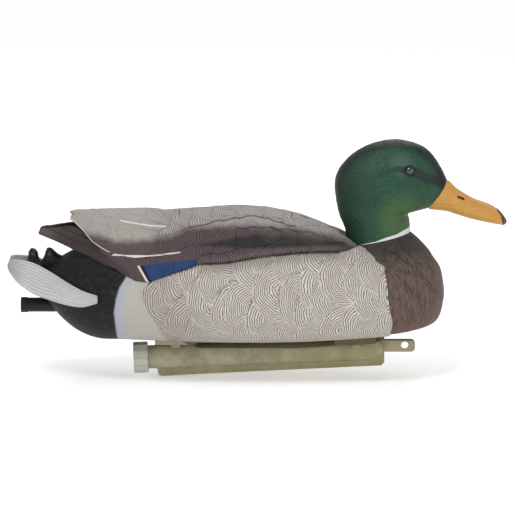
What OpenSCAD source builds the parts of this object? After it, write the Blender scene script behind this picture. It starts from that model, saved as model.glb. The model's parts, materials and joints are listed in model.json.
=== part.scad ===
// Floating drake mallard decoy that squirts a pulsing water jet from under its tail.
// Origin: on the ground under the middle of the bounding box. +X runs to the bill, +Z is up.

/* [Body] */
// Thickness of the blow-moulded body wall
wall = 3; // [2:0.5:4]
// Points round each body section
body_sides = 24; // [16:4:32]
// Points round each head section
head_sides = 24; // [16:4:32]
// Steps between two body stations
body_steps = 2; // [1:1:3]

/* [Head] */
// Forward place of the neck joint's centre
neck_x = 104; // [100:1:108]
// Height of the neck joint's centre
neck_z = 121; // [119:1:123]
// How far the neck joint leans back, in degrees
neck_tilt = 12; // [8:1:16]
// Outside radius of the neck at the joint
neck_r = 28.5; // [27:0.5:30]
// Gap between the head and the body at the neck joint
neck_gap = 0.4; // [0.3:0.1:0.8]
// Radius of the neck plug that turns in the socket
plug_r = 17; // [15:0.5:18]
// Radius of each glass eye
eye_r = 5; // [4:0.5:6]

/* [Hatch] */
// Length of the hatch opening in the back
hatch_l = 98; // [94:1:100]
// Width of the hatch opening
hatch_w = 62; // [60:1:64]
// Forward place of the hatch's middle
hatch_x = -20; // [-22:1:-18]
// Radius of the hatch hinge pin
pin_r = 1.25; // [1:0.25:1.5]

/* [Pump] */
// Forward place of the pump's shaft
pump_x = -120; // [-122:1:-118]
// Sideways place of the pump's shaft, which puts its outlet on the middle plane
pump_y = -11; // [-12:0.5:-10]
// Outside radius of the pump motor
motor_r = 14; // [13:0.5:14.5]
// Radius of the impeller
impeller_r = 14.5; // [13:0.5:15]
// Number of impeller vanes
vane_count = 6; // [4:1:8]
// Height of the jet nozzle's axis
nozzle_z = 62.6; // [61:0.2:64]
// Outside radius of the jet nozzle
nozzle_r = 6.2; // [5.5:0.1:6.4]
// Bore radius of the jet nozzle
jet_r = 4; // [3:0.5:4]

/* [Keel] */
// Outside radius of the ballast tube
tube_r = 10.65; // [10.6:0.05:10.9]
// Upward slope of the keel towards the bill, in degrees
keel_pitch = 2.4; // [2:0.1:2.8]
// Height of the ballast tube's axis under the origin's vertical line
keel_z = 20.5; // [20:0.1:21]
// Radius of the anchor line hole
line_hole_r = 3.2; // [2.5:0.1:3.5]
// Outside radius of the ballast tube's screw cap
cap_r = 13; // [12:0.5:14]

/* [Hidden] */
$fn = 48;
touch = 0.02;        // gap left between two curved faces that meet
run = 0.05;          // radial running clearance
lid_gap = 0.5;       // gap round the hatch lid
skin = 2.6;          // thickness of the hatch lid
ledge_z = 127;       // top of the ledge that carries the hatch gasket
tub_l = 88;          // inside length of the battery tub
tub_w = 52;          // inside width of the battery tub
tub_floor = 64;      // height of the battery tub's underside
lead_hole_z = 118.5; // height of the leads' hole in the tub
rocker_tilt = 12;    // slope of the rocker at either end of its travel, in degrees
hinge_y = 35;        // hatch hinge axis
hinge_z = 141.6;
hinge_x = -15;       // middle of the hatch hinge
knuckle_r = 2.6;
throat_r = 17;       // outside radius of the pump's intake throat
volute_z = 56;       // underside of the pump's volute
motor_z = 73;        // underside of the motor
motor_l = 40;        // length of the motor's can
shaft_r = 1.5;
tube_back = -90;     // where the ballast tube's full diameter begins
tube_front = 109.6;  // front end of the keel

// Body stations from the rump to the front of the flank: forward place, lowest point, highest
// point, half width, height of the greatest width.
body_rows = [[-192, 78, 92, 9, 85], [-182, 65, 98, 21, 82], [-170, 51, 106, 34, 80],
    [-154, 39.5, 115, 46, 78], [-135, 34, 130, 57, 77], [-105, 33.5, 141, 67, 77],
    [-60, 32, 145.5, 75, 77], [-10, 31.5, 148, 78, 76], [30, 32, 142, 77, 75],
    [65, 33.5, 129, 73, 74], [90, 35, 120, 68, 73], [112, 36.5, 114, 61.5, 71]];
// Overhanging tips of the folded back feathers, in the same form.
mantle_rows = [[-162, 132, 145, 10, 139], [-150, 126, 146, 28, 137], [-125, 116, 146, 46, 132],
    [-85, 112, 145.5, 56, 128], [-64, 108, 143.5, 54, 126]];
// Chest and neck, from the bottom up: forward place of the middle, height, half length, half
// width, lean in degrees.
chest_rows = [[95, 36, 12, 14, 0], [95, 38, 22, 28, 0], [95, 42.5, 44, 44, 0], [95, 49, 58, 53, 0],
    [95, 60, 64, 59, 0], [95, 75, 65.5, 61, 0], [97, 93, 60.5, 55, 1], [99, 103, 51.5, 46, 3],
    [102.5, 111.5, 41.5, 37, 6], [neck_x, neck_z, neck_r, neck_r, neck_tilt]];
// Neck and head, from the joint up, in the same form.
head_rows = [[neck_x - neck_gap * sin(neck_tilt), neck_z + neck_gap * cos(neck_tilt), neck_r, neck_r, neck_tilt],
    [102.8, 133, 28.3, 27, 8], [100.6, 141.5, 30, 26, 3], [104.2, 146, 35, 25.5, -1],
    [109.6, 149.5, 41.4, 25, 0], [113.6, 157, 46.6, 26, 0], [114.8, 166, 48.5, 26.5, 0],
    [114.6, 175, 47, 25.5, 0], [115, 184, 43, 23.5, 0], [116, 194, 34.7, 19.5, 0],
    [118, 201.5, 24.4, 14, 0], [118, 205.7, 13.2, 7.5, 0], [118, 207, 4, 2.5, 0]];
// Bill stations, in the form of the body stations.
bill_rows = [[148, 146.5, 170, 13, 157], [163, 144.8, 172.2, 12.5, 156], [172, 142, 164.8, 11.5, 150],
    [186, 137.8, 156.3, 12, 145], [199, 135.1, 151.5, 14, 141], [207, 133.6, 146.8, 13.5, 139],
    [212, 132.9, 141.5, 10, 137.5], [215, 134, 138.5, 5, 136.5]];

// Catmull-Rom curve through the rows; u counts rows.
function row_at(rows, u) =
    let (last = len(rows) - 1, i = min(floor(u), last - 1), t = u - i,
        a = rows[max(i - 1, 0)], b = rows[i], c = rows[i + 1], d = rows[min(i + 2, last)])
    0.5 * (2 * b + (c - a) * t + (2 * a - 5 * b + 4 * c - d) * t * t
        + (3 * b - a - 3 * c + d) * t * t * t);
function smooth_rows(rows, steps) =
    [for (u = [0 : 1 / steps : len(rows) - 1 + 0.001]) row_at(rows, min(u, len(rows) - 1))];
function bend(v, power) = sign(v) * pow(abs(v), 2 / power);
// One closed section across X, drawn in by inset.
function cross_ring(r, sides, inset, power) =
    [for (k = [0 : sides - 1]) let (a = 360 * k / sides, s = sin(a))
        [r[0], (r[3] - inset) * bend(cos(a), power),
            r[4] + (s > 0 ? r[2] - r[4] - inset : r[4] - r[1] - inset) * bend(s, power)]];
// One closed level section, leaning back by its last value.
function level_ring(r, sides, inset) =
    [for (k = [0 : sides - 1]) let (a = 360 * k / sides, x = (r[2] - inset) * cos(a))
        [r[0] + x * cos(r[4]), (r[3] - inset) * sin(a), r[1] + x * sin(r[4])]];

// Skins a list of rings that run along +X or +Z.
module skin_rings(rings) {
    n = len(rings[0]);
    m = len(rings);
    points = [for (ring = rings) each ring];
    sides = [for (i = [0 : m - 2], k = [0 : n - 1]) let (j = (k + 1) % n)
        [i * n + k, (i + 1) * n + k, (i + 1) * n + j, i * n + j]];
    caps = [[for (k = [0 : n - 1]) k], [for (k = [n - 1 : -1 : 0]) (m - 1) * n + k]];
    polyhedron(points, concat(sides, caps), convexity = 6);
}
module cross_loft(rows, steps, sides, inset = 0, power = 2.3) {
    skin_rings([for (r = smooth_rows(rows, steps)) cross_ring(r, sides, inset, power)]);
}
module level_loft(rows, steps, sides, inset = 0) {
    skin_rings([for (r = smooth_rows(rows, steps)) level_ring(r, sides, inset)]);
}
// Rows with their end stations moved in by the wall's thickness.
function pulled_in(rows, i, by) =
    [for (k = [0 : len(rows) - 1]) k == 0 ? rows[0] + by * i : k == len(rows) - 1 ? rows[k] - by * i : rows[k]];

module body_outer(grow = 0) {
    cross_loft(body_rows, body_steps, body_sides, -grow);
}
module body_inner(inset) {
    cross_loft(pulled_in(body_rows, [1, 0, 0, 0, 0], inset), body_steps, body_sides, inset);
}
module chest_inner() {
    n = len(chest_rows) - 1;
    top = chest_rows[n] + wall * [sin(neck_tilt), -cos(neck_tilt), 0, 0, 0];
    level_loft(concat([for (k = [2 : n - 1]) chest_rows[k]], [top]), 1, body_sides, wall);
}
module head_inner() {
    n = len(head_rows) - 1;
    foot = head_rows[0] + wall * [-sin(neck_tilt), cos(neck_tilt), 0, 0, 0];
    level_loft(concat([foot], [for (k = [1 : n - 2]) head_rows[k]]), 1, head_sides, wall);
}
// A block with round corners standing on z = 0.
module round_block(l, w, h, r) {
    linear_extrude(h) {
        square([l - 2 * r, w], center = true);
        square([l, w - 2 * r], center = true);
        for (x = [-1, 1], y = [-1, 1])
            translate([x * (l / 2 - r), y * (w / 2 - r)]) circle(r);
    }
}
module round_frame(l, w, h, r, band) {
    difference() {
        round_block(l, w, h, r);
        translate([0, 0, -1]) round_block(l - 2 * band, w - 2 * band, h + 2, r - band);
    }
}
module tube(r_out, r_in, h) {
    difference() {
        cylinder(r = r_out, h = h);
        translate([0, 0, -1]) cylinder(r = r_in, h = h + 2);
    }
}
module at_neck() {
    translate([neck_x, 0, neck_z]) rotate([0, -neck_tilt, 0]) children();
}
module at_keel() {
    translate([0, 0, keel_z]) rotate([0, -keel_pitch, 0]) children();
}
module at_hatch(z) {
    translate([hatch_x, 0, z]) children();
}
module along_x(x) {
    translate([x, 0, 0]) rotate([0, 90, 0]) children();
}
module at_pump(z) {
    translate([pump_x, pump_y, z]) children();
}
module at_nozzle(x) {
    translate([x, 0, nozzle_z]) rotate([0, 90, 0]) children();
}
keel_screw_places = [for (x = [-72, 84], y = [-15.5, 15.5]) [x, y]];

// ---- Body ----
tail_side = [[-214, 14, 97], [-211, 26, 82], [-180, 50, 70], [-150, 50, 64], [-140, 44, 74], [-182, 20, 90]];
module tail_fan() {
    for (side = [-1, 1]) hull()
        for (p = tail_side) translate([p[0], side * p[1], p[2]]) sphere(r = 2, $fn = 16);
}
module wing_tips() {
    for (side = [-1, 1]) hull() {
        translate([-188, side * 12, 124.5]) sphere(r = 2, $fn = 16);
        translate([-158, side * 20, 126]) sphere(r = 3, $fn = 16);
        translate([-150, side * 40, 108]) sphere(r = 3, $fn = 16);
        translate([-120, side * 46, 116]) sphere(r = 3, $fn = 16);
    }
}
module curled_feathers() {
    for (x = [-195, -181]) hull() {
        translate([x, 0, 107]) sphere(r = 3, $fn = 16);
        translate([x - 3, 0, 96]) sphere(r = 4, $fn = 16);
        translate([x + 9, 0, 94]) sphere(r = 4, $fn = 16);
    }
}
module body_shell() {
    color("silver") difference() {
        union() {
            difference() {
                union() {
                    body_outer();
                    level_loft(chest_rows, 1, body_sides);
                    cross_loft(mantle_rows, 1, 20);
                    tail_fan();
                    wing_tips();
                    curled_feathers();
                }
                body_inner(wall);
                chest_inner();
            }
            for (p = keel_screw_places) translate([p[0], p[1], 36]) cylinder(r = 5, h = 12);
        }
        at_neck() translate([0, 0, -30]) cylinder(r = plug_r + 4 + touch, h = 31);
        at_neck() translate([0, 0, 0.13]) cylinder(r = neck_r + 3.1, h = 60);
        at_hatch(90) round_block(hatch_l, hatch_w, 80, 12);
        translate([hinge_x - 18, hatch_w / 2 - 1, 134]) cube([36, 10, 20]);
        at_pump(20) cylinder(r = throat_r + touch, h = 30);
        at_nozzle(-220) cylinder(r = nozzle_r + touch, h = 60);
        for (p = keel_screw_places) translate([p[0], p[1], 20]) cylinder(r = 2 + touch, h = 26);
    }
}
module neck_socket() {
    color("dimgray") at_neck() {
        translate([0, 0, -18]) tube(plug_r + 4, plug_r + run, 17.8);
        translate([0, 0, -7.6]) tube(plug_r + 7, plug_r + run, 2.6);
    }
}

// ---- Battery bay ----
module battery_tub() {
    color("dimgray") {
        difference() {
            union() {
                at_hatch(ledge_z - 3) round_block(hatch_l + 6, hatch_w + 6, 3, 15);
                at_hatch(tub_floor) round_block(tub_l + 4, tub_w + 4, ledge_z - tub_floor - 2, 8);
            }
            at_hatch(tub_floor + 2) round_block(tub_l, tub_w, 100, 6);
            translate([-66.5, 0, lead_hole_z]) rotate([0, 90, 0]) cylinder(r = 4, h = 10, center = true);
        }
        difference() {
            intersection() {
                at_hatch(ledge_z) round_frame(hatch_l + 6, hatch_w + 6, 30, 15, 3);
                body_inner(wall + touch);
            }
            translate([hinge_x - 18, hatch_w / 2 - 1, 134]) cube([36, 10, 20]);
        }
        difference() {
            translate([6, -tub_w / 2, 108]) cube([18, tub_w, 2.5]);
            translate([8.5, -9.5, 100]) cube([13, 19, 20]);
        }
    }
}
module hinge_bracket() {
    low = 134;
    top = 138.6;
    color("dimgray") difference() {
        union() {
            translate([hinge_x - 18 + touch, hatch_w / 2, low]) cube([36 - 2 * touch, 9 - touch, top - low]);
            translate([hinge_x - 8, hinge_y - 2, low]) cube([16, 4, hinge_z - low]);
            hinge_barrel(-8, 16);
        }
        hinge_hole(touch);
    }
}
module hinge_barrel(x, length) {
    translate([hinge_x + x, hinge_y, hinge_z]) rotate([0, 90, 0]) cylinder(r = knuckle_r, h = length);
}
module hinge_hole(gap) {
    translate([hinge_x - 30, hinge_y, hinge_z]) rotate([0, 90, 0]) cylinder(r = pin_r + gap, h = 60);
}
module hinge_pin() {
    color("silver") translate([hinge_x - 17, hinge_y, hinge_z]) rotate([0, 90, 0]) cylinder(r = pin_r, h = 34);
}
module hatch_gasket() {
    color("black") at_hatch(ledge_z) round_frame(97, 61, 2, 11.5, 4);
}
module hatch_lid() {
    color("silver") difference() {
        union() {
            difference() {
                intersection() {
                    body_outer();
                    at_hatch(125) round_block(hatch_l - 2 * lid_gap, hatch_w - 2 * lid_gap, 40, 11.5);
                }
                body_inner(skin);
            }
            intersection() {
                at_hatch(ledge_z + 2.1) round_frame(94, 58, 30, 10, 2);
                body_inner(1);
            }
            for (x = [-17, 8.3]) {
                hinge_barrel(x, 8.7);
                translate([hinge_x + x, 28, 140.2]) cube([8.7, hinge_y - 28, 3.2]);
            }
        }
        hinge_hole(run);
    }
}
module battery_pack() {
    color("darkslategray") translate([-27.5, 0, tub_floor + 2.1]) round_block(66, 46, 52, 3);
}
module battery_terminals() {
    color("goldenrod") for (x = [-53, -8])
        translate([x - 3, -0.4, tub_floor + 54.1]) cube([6, 0.8, 7]);
}
module battery_strap() {
    top = tub_floor + 54.15;
    color("black") {
        translate([-34, -25.2, top]) cube([12, 50.4, 1.5]);
        for (y = [-25.2, 23.2]) translate([-34, y, tub_floor + 2.1]) cube([12, 2, top - tub_floor - 2.1]);
    }
}
module switch_body() {
    color("black") difference() {
        union() {
            translate([8.6, -9.4, 98]) cube([12.8, 18.8, 13]);
            translate([6.6, -11.4, 110.52]) cube([16.8, 22.8, 1.5]);
        }
        translate([9.7, -8.2, 103]) cube([10.6, 16.4, 12]);
        translate([8, 0, 109]) rotate([0, 90, 0]) cylinder(r = 1.25, h = 14);
    }
}
module switch_rocker() {
    color("firebrick") translate([15, 0, 109]) rotate([-rocker_tilt, 0, 0]) rotate([90, 0, 90]) {
        translate([0, 0, -5]) linear_extrude(10)
            polygon([[-7, -1], [7, -1], [7.2, 4.6], [0, 5.6], [-7.2, 4.6]]);
        translate([0, 0, -6]) cylinder(r = 1.2, h = 12);
    }
}
module control_box() {
    color("black") {
        translate([-84, -20, 70]) cube([17.8, 40, 24]);
        for (y = [-10, 10]) translate([-75, y, 94]) cylinder(r = 2.5, h = 3);
    }
}
module lead_grommet() {
    color("black") translate([-68, 0, lead_hole_z]) rotate([0, 90, 0]) {
        difference() {
            union() {
                cylinder(r = 4 - touch, h = 4);
                cylinder(r = 5.2, h = 2 - touch);
            }
            translate([0, 0, -1]) cylinder(r = 3.3, h = 8);
        }
    }
}

// A round lead through the listed points; side is a direction that the lead never points along.
function unit(v) = v / norm(v);
module lead(points, r, side) {
    path = smooth_rows(points, 4);
    n = len(path);
    rings = [for (i = [0 : n - 1])
        let (t = unit(path[min(i + 1, n - 1)] - path[max(i - 1, 0)]),
            u = unit(cross(t, side)), w = cross(t, u))
        [for (k = [0 : 7]) path[i] + r * (cos(45 * k) * u + sin(45 * k) * w)]];
    skin_rings(rings);
}
lead_r = 1.1;
module battery_leads() {
    top = tub_floor + 61.3;
    over = top + 3.5; // height at which the leads run above the battery
    color("firebrick") for (p = [[-53, 1], [-8, -1]])
        lead(concat([[p[0], 0, top], [p[0], 0, top + 2], [p[0] - 3, p[1] * 4, over]],
            [for (x = [-20, -31, -42, -52]) if (x < p[0] - 5 && p[1] < 0) [x, p[1] * 4, over]],
            [[-58.5, p[1] * 2.5, lead_hole_z + 3], [-63.5, p[1] * 1.6, lead_hole_z], [-68.5, p[1] * 1.6, lead_hole_z],
            [-74, p[1] * 5, 115], [-75, p[1] * 10, 106], [-75, p[1] * 10, 97.05]]), lead_r, [0, 1, 0]);
}
module motor_leads() {
    top = motor_z + motor_l + 8.05;
    color("black") for (s = [-1, 1])
        lead([[-84.05, s * 6, 80], [-88, s * 6, 80.5], [-96, s * 5 + pump_y / 2, 92], [-102, s * 5 + pump_y / 2, 112],
            [-108, s * 5 + pump_y / 2, 124], [-116, pump_y + s * 6, 127], [-120, pump_y + s * 6, 125],
            [-120, pump_y + s * 6, top]], lead_r, [0, 1, 0]);
}

// ---- Pump ----
module pump_housing() {
    color("dimgray") difference() {
        union() {
            intersection() {
                at_pump(25) cylinder(r = throat_r, h = volute_z - 24);
                body_outer(-touch);
            }
            intersection() {
                at_pump(25) cylinder(r = throat_r + 4.5, h = 18);
                body_inner(wall + touch);
            }
            at_pump(volute_z - 2) cylinder(r = 21, h = 15.5);
            at_nozzle(-150) cylinder(r = 5.2, h = 30);
            at_nozzle(-141) cylinder(r = 6.4, h = 21);
        }
        at_pump(20) cylinder(r = throat_r - 1.8, h = volute_z - 20 - 2);
        at_pump(20) cylinder(r = 7, h = 45);
        at_pump(volute_z + 2) cylinder(r = 16, h = 20);
        at_nozzle(-160) cylinder(r = jet_r, h = 40);
    }
}
module intake_strainer() {
    color("black") at_pump(38.5) difference() {
        cylinder(r = throat_r - 1.8 - touch, h = 2.5);
        intersection() {
            translate([0, 0, -1]) cylinder(r = throat_r - 3.6, h = 5);
            for (y = [-12 : 4 : 12]) translate([-20, y - 1.2, -1]) cube([40, 2.4, 5]);
        }
    }
}
module pump_cover() {
    color("gray") at_pump(volute_z + 12.5) difference() {
        union() {
            cylinder(r = 15.95, h = 2);
            translate([0, 0, 1]) cylinder(r = 21, h = 3.5);
        }
        translate([0, 0, -1]) cylinder(r = 5 + touch, h = 8);
    }
}
module shaft_seal() {
    color("black") at_pump(volute_z + 12.6) tube(5, shaft_r + run, 4.3);
}
module impeller() {
    color("white") at_pump(volute_z + 4) difference() {
        union() {
            cylinder(r = 4, h = 8);
            translate([0, 0, 6]) cylinder(r = impeller_r, h = 1.4);
            for (k = [0 : vane_count - 1]) rotate(360 * k / vane_count)
                translate([2, -0.8, 0]) cube([impeller_r - 2.6, 1.6, 6.5]);
        }
        translate([0, 0, -1]) cylinder(r = shaft_r, h = 10);
    }
}
module motor_can() {
    color("silver") at_pump(motor_z) difference() {
        cylinder(r = motor_r, h = motor_l);
        translate([0, 0, 2]) cylinder(r = motor_r - 1.5, h = motor_l);
        translate([0, 0, -1]) cylinder(r = 3, h = 5);
    }
}
module motor_end_cap() {
    color("black") at_pump(motor_z + motor_l) difference() {
        union() {
            cylinder(r = motor_r, h = 4);
            for (s = [-1, 1]) translate([0, 6 * s, 3]) cylinder(r = 1.6, h = 5);
        }
        translate([0, 0, -1]) cylinder(r = shaft_r + run, h = 3.5);
    }
}
module motor_magnets() {
    color("dimgray") at_pump(motor_z + 7) for (s = [0, 180]) rotate(s) difference() {
        tube(motor_r - 1.5 - touch, motor_r - 3.5, 26);
        for (a = [-50, 50]) rotate(a) translate([-40, a > 0 ? 0 : -40, -1]) cube([80, 40, 28]);
    }
}
module motor_armature() {
    color("chocolate") at_pump(motor_z + 6) difference() {
        union() {
            cylinder(r = 9.8, h = 28);
            translate([0, 0, 27]) cylinder(r = 4, h = 5);
        }
        for (a = [0, 120, 240]) rotate(a) translate([5, -1.5, -1]) cube([10, 3, 29.5]);
        translate([0, 0, -1]) cylinder(r = shaft_r, h = 40);
    }
}
module motor_shaft() {
    color("silver") at_pump(volute_z + 3.5) cylinder(r = shaft_r, h = motor_z + motor_l + 1.5 - volute_z - 3.5);
}
module discharge_hose() {
    color("gray") at_nozzle(-168) difference() {
        union() {
            cylinder(r = nozzle_r + 1.8, h = 11);
            translate([0, 0, 11]) cylinder(r1 = nozzle_r + 1.8, r2 = 7, h = 5);
            translate([0, 0, 16]) cylinder(r = 7, h = 10.9);
        }
        translate([0, 0, -1]) cylinder(r = nozzle_r + touch, h = 11.1);
        translate([0, 0, 10]) cylinder(r1 = nozzle_r + touch, r2 = 5.2 + touch, h = 6);
        translate([0, 0, 16]) cylinder(r = 5.2 + touch, h = 12);
    }
}
module hose_clamps() {
    color("silver") {
        at_nozzle(-165.5) tube(nozzle_r + 2.8, nozzle_r + 1.8 + touch, 5);
        at_nozzle(-148) tube(8, 7 + touch, 5);
    }
}
module jet_nozzle() {
    color("black") difference() {
        union() {
            at_nozzle(-201) cylinder(r = nozzle_r, h = 43);
            at_nozzle(-206.5) cylinder(r = nozzle_r - 0.6, h = 8);
        }
        at_nozzle(-210) cylinder(r = jet_r, h = 60);
    }
}
module nozzle_tip() {
    color("black") at_nozzle(-207) tube(nozzle_r + 0.5, nozzle_r - 0.6 + touch, 5.95);
}
module nozzle_seal() {
    color("black") difference() {
        intersection() {
            at_nozzle(-182) cylinder(r = 11, h = 13);
            body_inner(wall + touch);
        }
        at_nozzle(-220) cylinder(r = nozzle_r + touch, h = 60);
    }
}

// ---- Keel ----
module keel() {
    color("tan") difference() {
        union() {
            at_keel() {
                along_x(-106) cylinder(r = 9.95, h = 10);
                along_x(-96.4) cylinder(r = 10.2, h = 7);
                along_x(tube_back) cylinder(r = tube_r, h = 190);
                along_x(tube_back + 190) cylinder(r1 = tube_r, r2 = tube_r - 5, h = 8);
            }
            keel_plate(2.5) polygon([[-88, 3.5], [-87, 1.1], [-84.5, 0], [-60, 1.34], [107, 9.3], [tube_front, 12], [tube_front, 24], [-88, 18]]);
            keel_plate(2) polygon([[tube_back, 18], [tube_front, 22], [tube_front, 45], [tube_back, 45]]);
            keel_plate(2) hull() {
                translate([105, 21.3]) square([10, 10.9]);
                for (z = [24.9, 28.6]) translate([132.8, z]) circle(3.6, $fn = 24);
            }
            for (x = [-72, 84]) translate([x - 18, -20, 30.2]) cube([36, 40, 16]);
        }
        body_outer(touch);
        level_loft(chest_rows, 1, body_sides, -touch);
        at_keel() along_x(-120) cylinder(r = 8.2, h = 217);
        translate([127.4, 0, 26.9]) rotate([90, 0, 0]) cylinder(r = line_hole_r, h = 20, center = true);
        for (p = keel_screw_places) translate([p[0], p[1], 20]) cylinder(r = 2 + touch, h = 26);
    }
}
// A flat plate in the middle plane.
module keel_plate(half) {
    rotate([90, 0, 0]) linear_extrude(2 * half, center = true) children();
}
module ballast_bar() {
    color("gray") at_keel() along_x(-96) cylinder(r = 8, h = 192);
}
module keel_screws() {
    color("silver") for (p = keel_screw_places) translate([p[0], p[1], 27.6]) {
        difference() {
            cylinder(r = 4, h = 2.6);
            translate([-2, -0.5, -0.1]) cube([4, 1, 1]);
            translate([-0.5, -2, -0.1]) cube([1, 4, 1]);
        }
        translate([0, 0, 2]) cylinder(r = 2, h = 16);
    }
}
module cap_gasket() {
    color("black") at_keel() along_x(-106.5) tube(9.9, 8.2, 0.48);
}
module keel_cap() {
    color("tan") at_keel() along_x(-109) difference() {
        union() {
            cylinder(r = cap_r, h = 12.5);
            for (a = [0 : 30 : 330]) rotate(a) translate([cap_r - 0.4, -1, 0]) cube([1, 2, 12.5]);
        }
        translate([0, 0, 2.5]) cylinder(r = 9.95 + run, h = 12);
    }
}

// ---- Head ----
module head_shell() {
    color("darkgreen") difference() {
        union() {
            difference() {
                union() {
                    level_loft(head_rows, 1, head_sides);
                    cross_loft(bill_rows, 2, 16, 0, 2.2);
                }
                head_inner();
            }
        }
        at_neck() translate([0, 0, -5]) cylinder(r = plug_r + touch, h = 12);
        for (s = [-1, 1]) translate([131.5, s * 19, 181]) sphere(r = eye_r + touch);
    }
}
module eyes() {
    color("black") for (s = [-1, 1]) translate([131.5, s * 19, 181]) sphere(r = eye_r);
}
module neck_plug() {
    color("dimgray") at_neck() difference() {
        union() {
            translate([0, 0, -21]) cylinder(r = plug_r, h = 34);
            translate([0, 0, 3.45]) cylinder(r = plug_r + 5, h = 2.5);
        }
        translate([0, 0, -22]) cylinder(r = 13, h = 40);
        translate([0, 0, -20]) tube(plug_r + 2, plug_r - 1.5, 1.6);
        translate([0, 0, -8.8]) tube(plug_r + 2, plug_r - 1.4, 1.6);
    }
}
module neck_seal() {
    color("black") at_neck() translate([0, 0, -8]) rotate_extrude() translate([plug_r - 0.7, 0]) circle(0.68, $fn = 16);
}
module neck_clip() {
    color("silver") at_neck() translate([0, 0, -19.95]) difference() {
        tube(plug_r + 3, plug_r - 1.5 + touch, 1.5);
        translate([0, -3, -1]) cube([40, 6, 4]);
    }
}

body_shell();
neck_socket();
battery_tub();
hinge_bracket();
hinge_pin();
hatch_gasket();
battery_pack();
battery_terminals();
battery_strap();
switch_body();
control_box();
lead_grommet();
battery_leads();
motor_leads();
pump_housing();
pump_cover();
intake_strainer();
motor_can();
motor_end_cap();
motor_magnets();
shaft_seal();
discharge_hose();
hose_clamps();
jet_nozzle();
nozzle_tip();
nozzle_seal();
keel();
ballast_bar();
keel_screws();
head_shell();
neck_plug();
neck_seal();
neck_clip();
eyes();
hatch_lid();
impeller();
motor_armature();
motor_shaft();
switch_rocker();
cap_gasket();
keel_cap();
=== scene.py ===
import json
import math
import bmesh
import bpy
import numpy as np
from mathutils import Matrix, Vector

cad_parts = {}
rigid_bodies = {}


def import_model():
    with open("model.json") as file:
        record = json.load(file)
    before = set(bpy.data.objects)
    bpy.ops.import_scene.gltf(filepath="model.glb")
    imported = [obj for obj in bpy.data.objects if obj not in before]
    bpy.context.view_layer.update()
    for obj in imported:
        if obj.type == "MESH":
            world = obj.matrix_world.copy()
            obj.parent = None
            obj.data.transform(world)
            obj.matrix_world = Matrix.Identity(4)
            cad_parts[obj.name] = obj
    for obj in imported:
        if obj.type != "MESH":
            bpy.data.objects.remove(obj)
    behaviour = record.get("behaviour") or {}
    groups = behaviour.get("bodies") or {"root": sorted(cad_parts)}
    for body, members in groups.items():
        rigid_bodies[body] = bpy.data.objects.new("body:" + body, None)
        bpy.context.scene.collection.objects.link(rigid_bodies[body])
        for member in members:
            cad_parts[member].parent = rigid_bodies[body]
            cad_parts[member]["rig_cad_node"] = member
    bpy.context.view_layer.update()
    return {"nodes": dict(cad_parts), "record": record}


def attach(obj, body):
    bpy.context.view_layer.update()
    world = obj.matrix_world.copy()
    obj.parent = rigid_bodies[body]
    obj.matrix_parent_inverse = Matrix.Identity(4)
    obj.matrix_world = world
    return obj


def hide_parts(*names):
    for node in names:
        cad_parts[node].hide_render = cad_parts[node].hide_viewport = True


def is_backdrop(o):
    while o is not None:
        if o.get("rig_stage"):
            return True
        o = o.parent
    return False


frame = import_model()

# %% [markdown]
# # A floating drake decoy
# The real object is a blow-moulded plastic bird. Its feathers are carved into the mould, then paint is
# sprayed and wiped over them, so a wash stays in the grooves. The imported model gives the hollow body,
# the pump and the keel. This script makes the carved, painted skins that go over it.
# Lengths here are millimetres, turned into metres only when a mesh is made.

MM = 0.001

# %% [markdown]
# ## Camera
# The decoy is shown from its right side, a little from above. A wide lens close by would bend its outline,
# so the camera stands well back with a long lens, which keeps the true proportions.

# %% Camera
VIEW_TILT = math.radians(8)
CAMERA_FAR = 4.0
PICTURE_WIDE = 0.448
SENSOR_WIDE = 36
LOOK_AT = Vector((-0.001, 0, 0.104))


def make_camera():
    camera = bpy.data.objects.new("camera", bpy.data.cameras.new("camera"))
    bpy.context.scene.collection.objects.link(camera)
    camera.data.sensor_width = SENSOR_WIDE
    camera.data.lens = SENSOR_WIDE * CAMERA_FAR / PICTURE_WIDE
    camera.data.clip_end = 50
    back = Vector((0, -math.cos(VIEW_TILT), math.sin(VIEW_TILT)))
    camera.location = LOOK_AT + back * CAMERA_FAR
    camera.rotation_euler = (-back).to_track_quat("-Z", "Y").to_euler()
    bpy.context.scene.camera = camera
    print("camera", CAMERA_FAR, "m back, with a lens of", round(camera.data.lens), "mm")


make_camera()

# %% [markdown]
# ## Floor
# A sweep of paper behind the bird would hide it from the far side. This pale floor is flat well past the
# camera all round and only curves up far out, and a faint glow keeps it pale beyond the lamps' reach.

# %% Floor
FLOOR_HALF, FLOOR_CELLS = 8, 40
FLAT_FLOOR = 6.0
RIM_CURVE = 0.12
FLOOR_LOOK = {"Base Color": (0.93, 0.93, 0.93, 1), "Roughness": 0.9, "Emission Strength": 0.5}
GLOW_BY_DISTANCE = {"From Min": 0.5, "From Max": 3.0, "To Min": 0.6, "To Max": 0.78}


def floor_mesh():
    bm = bmesh.new()
    bmesh.ops.create_grid(bm, x_segments=FLOOR_CELLS, y_segments=FLOOR_CELLS, size=FLOOR_HALF)
    for v in bm.verts:
        beyond = max(v.co.xy.length - FLAT_FLOOR, 0)
        v.co.z = RIM_CURVE * beyond * beyond
    mesh = bpy.data.meshes.new("floor")
    bm.to_mesh(mesh)
    bm.free()
    mesh.shade_smooth()
    return mesh


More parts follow.
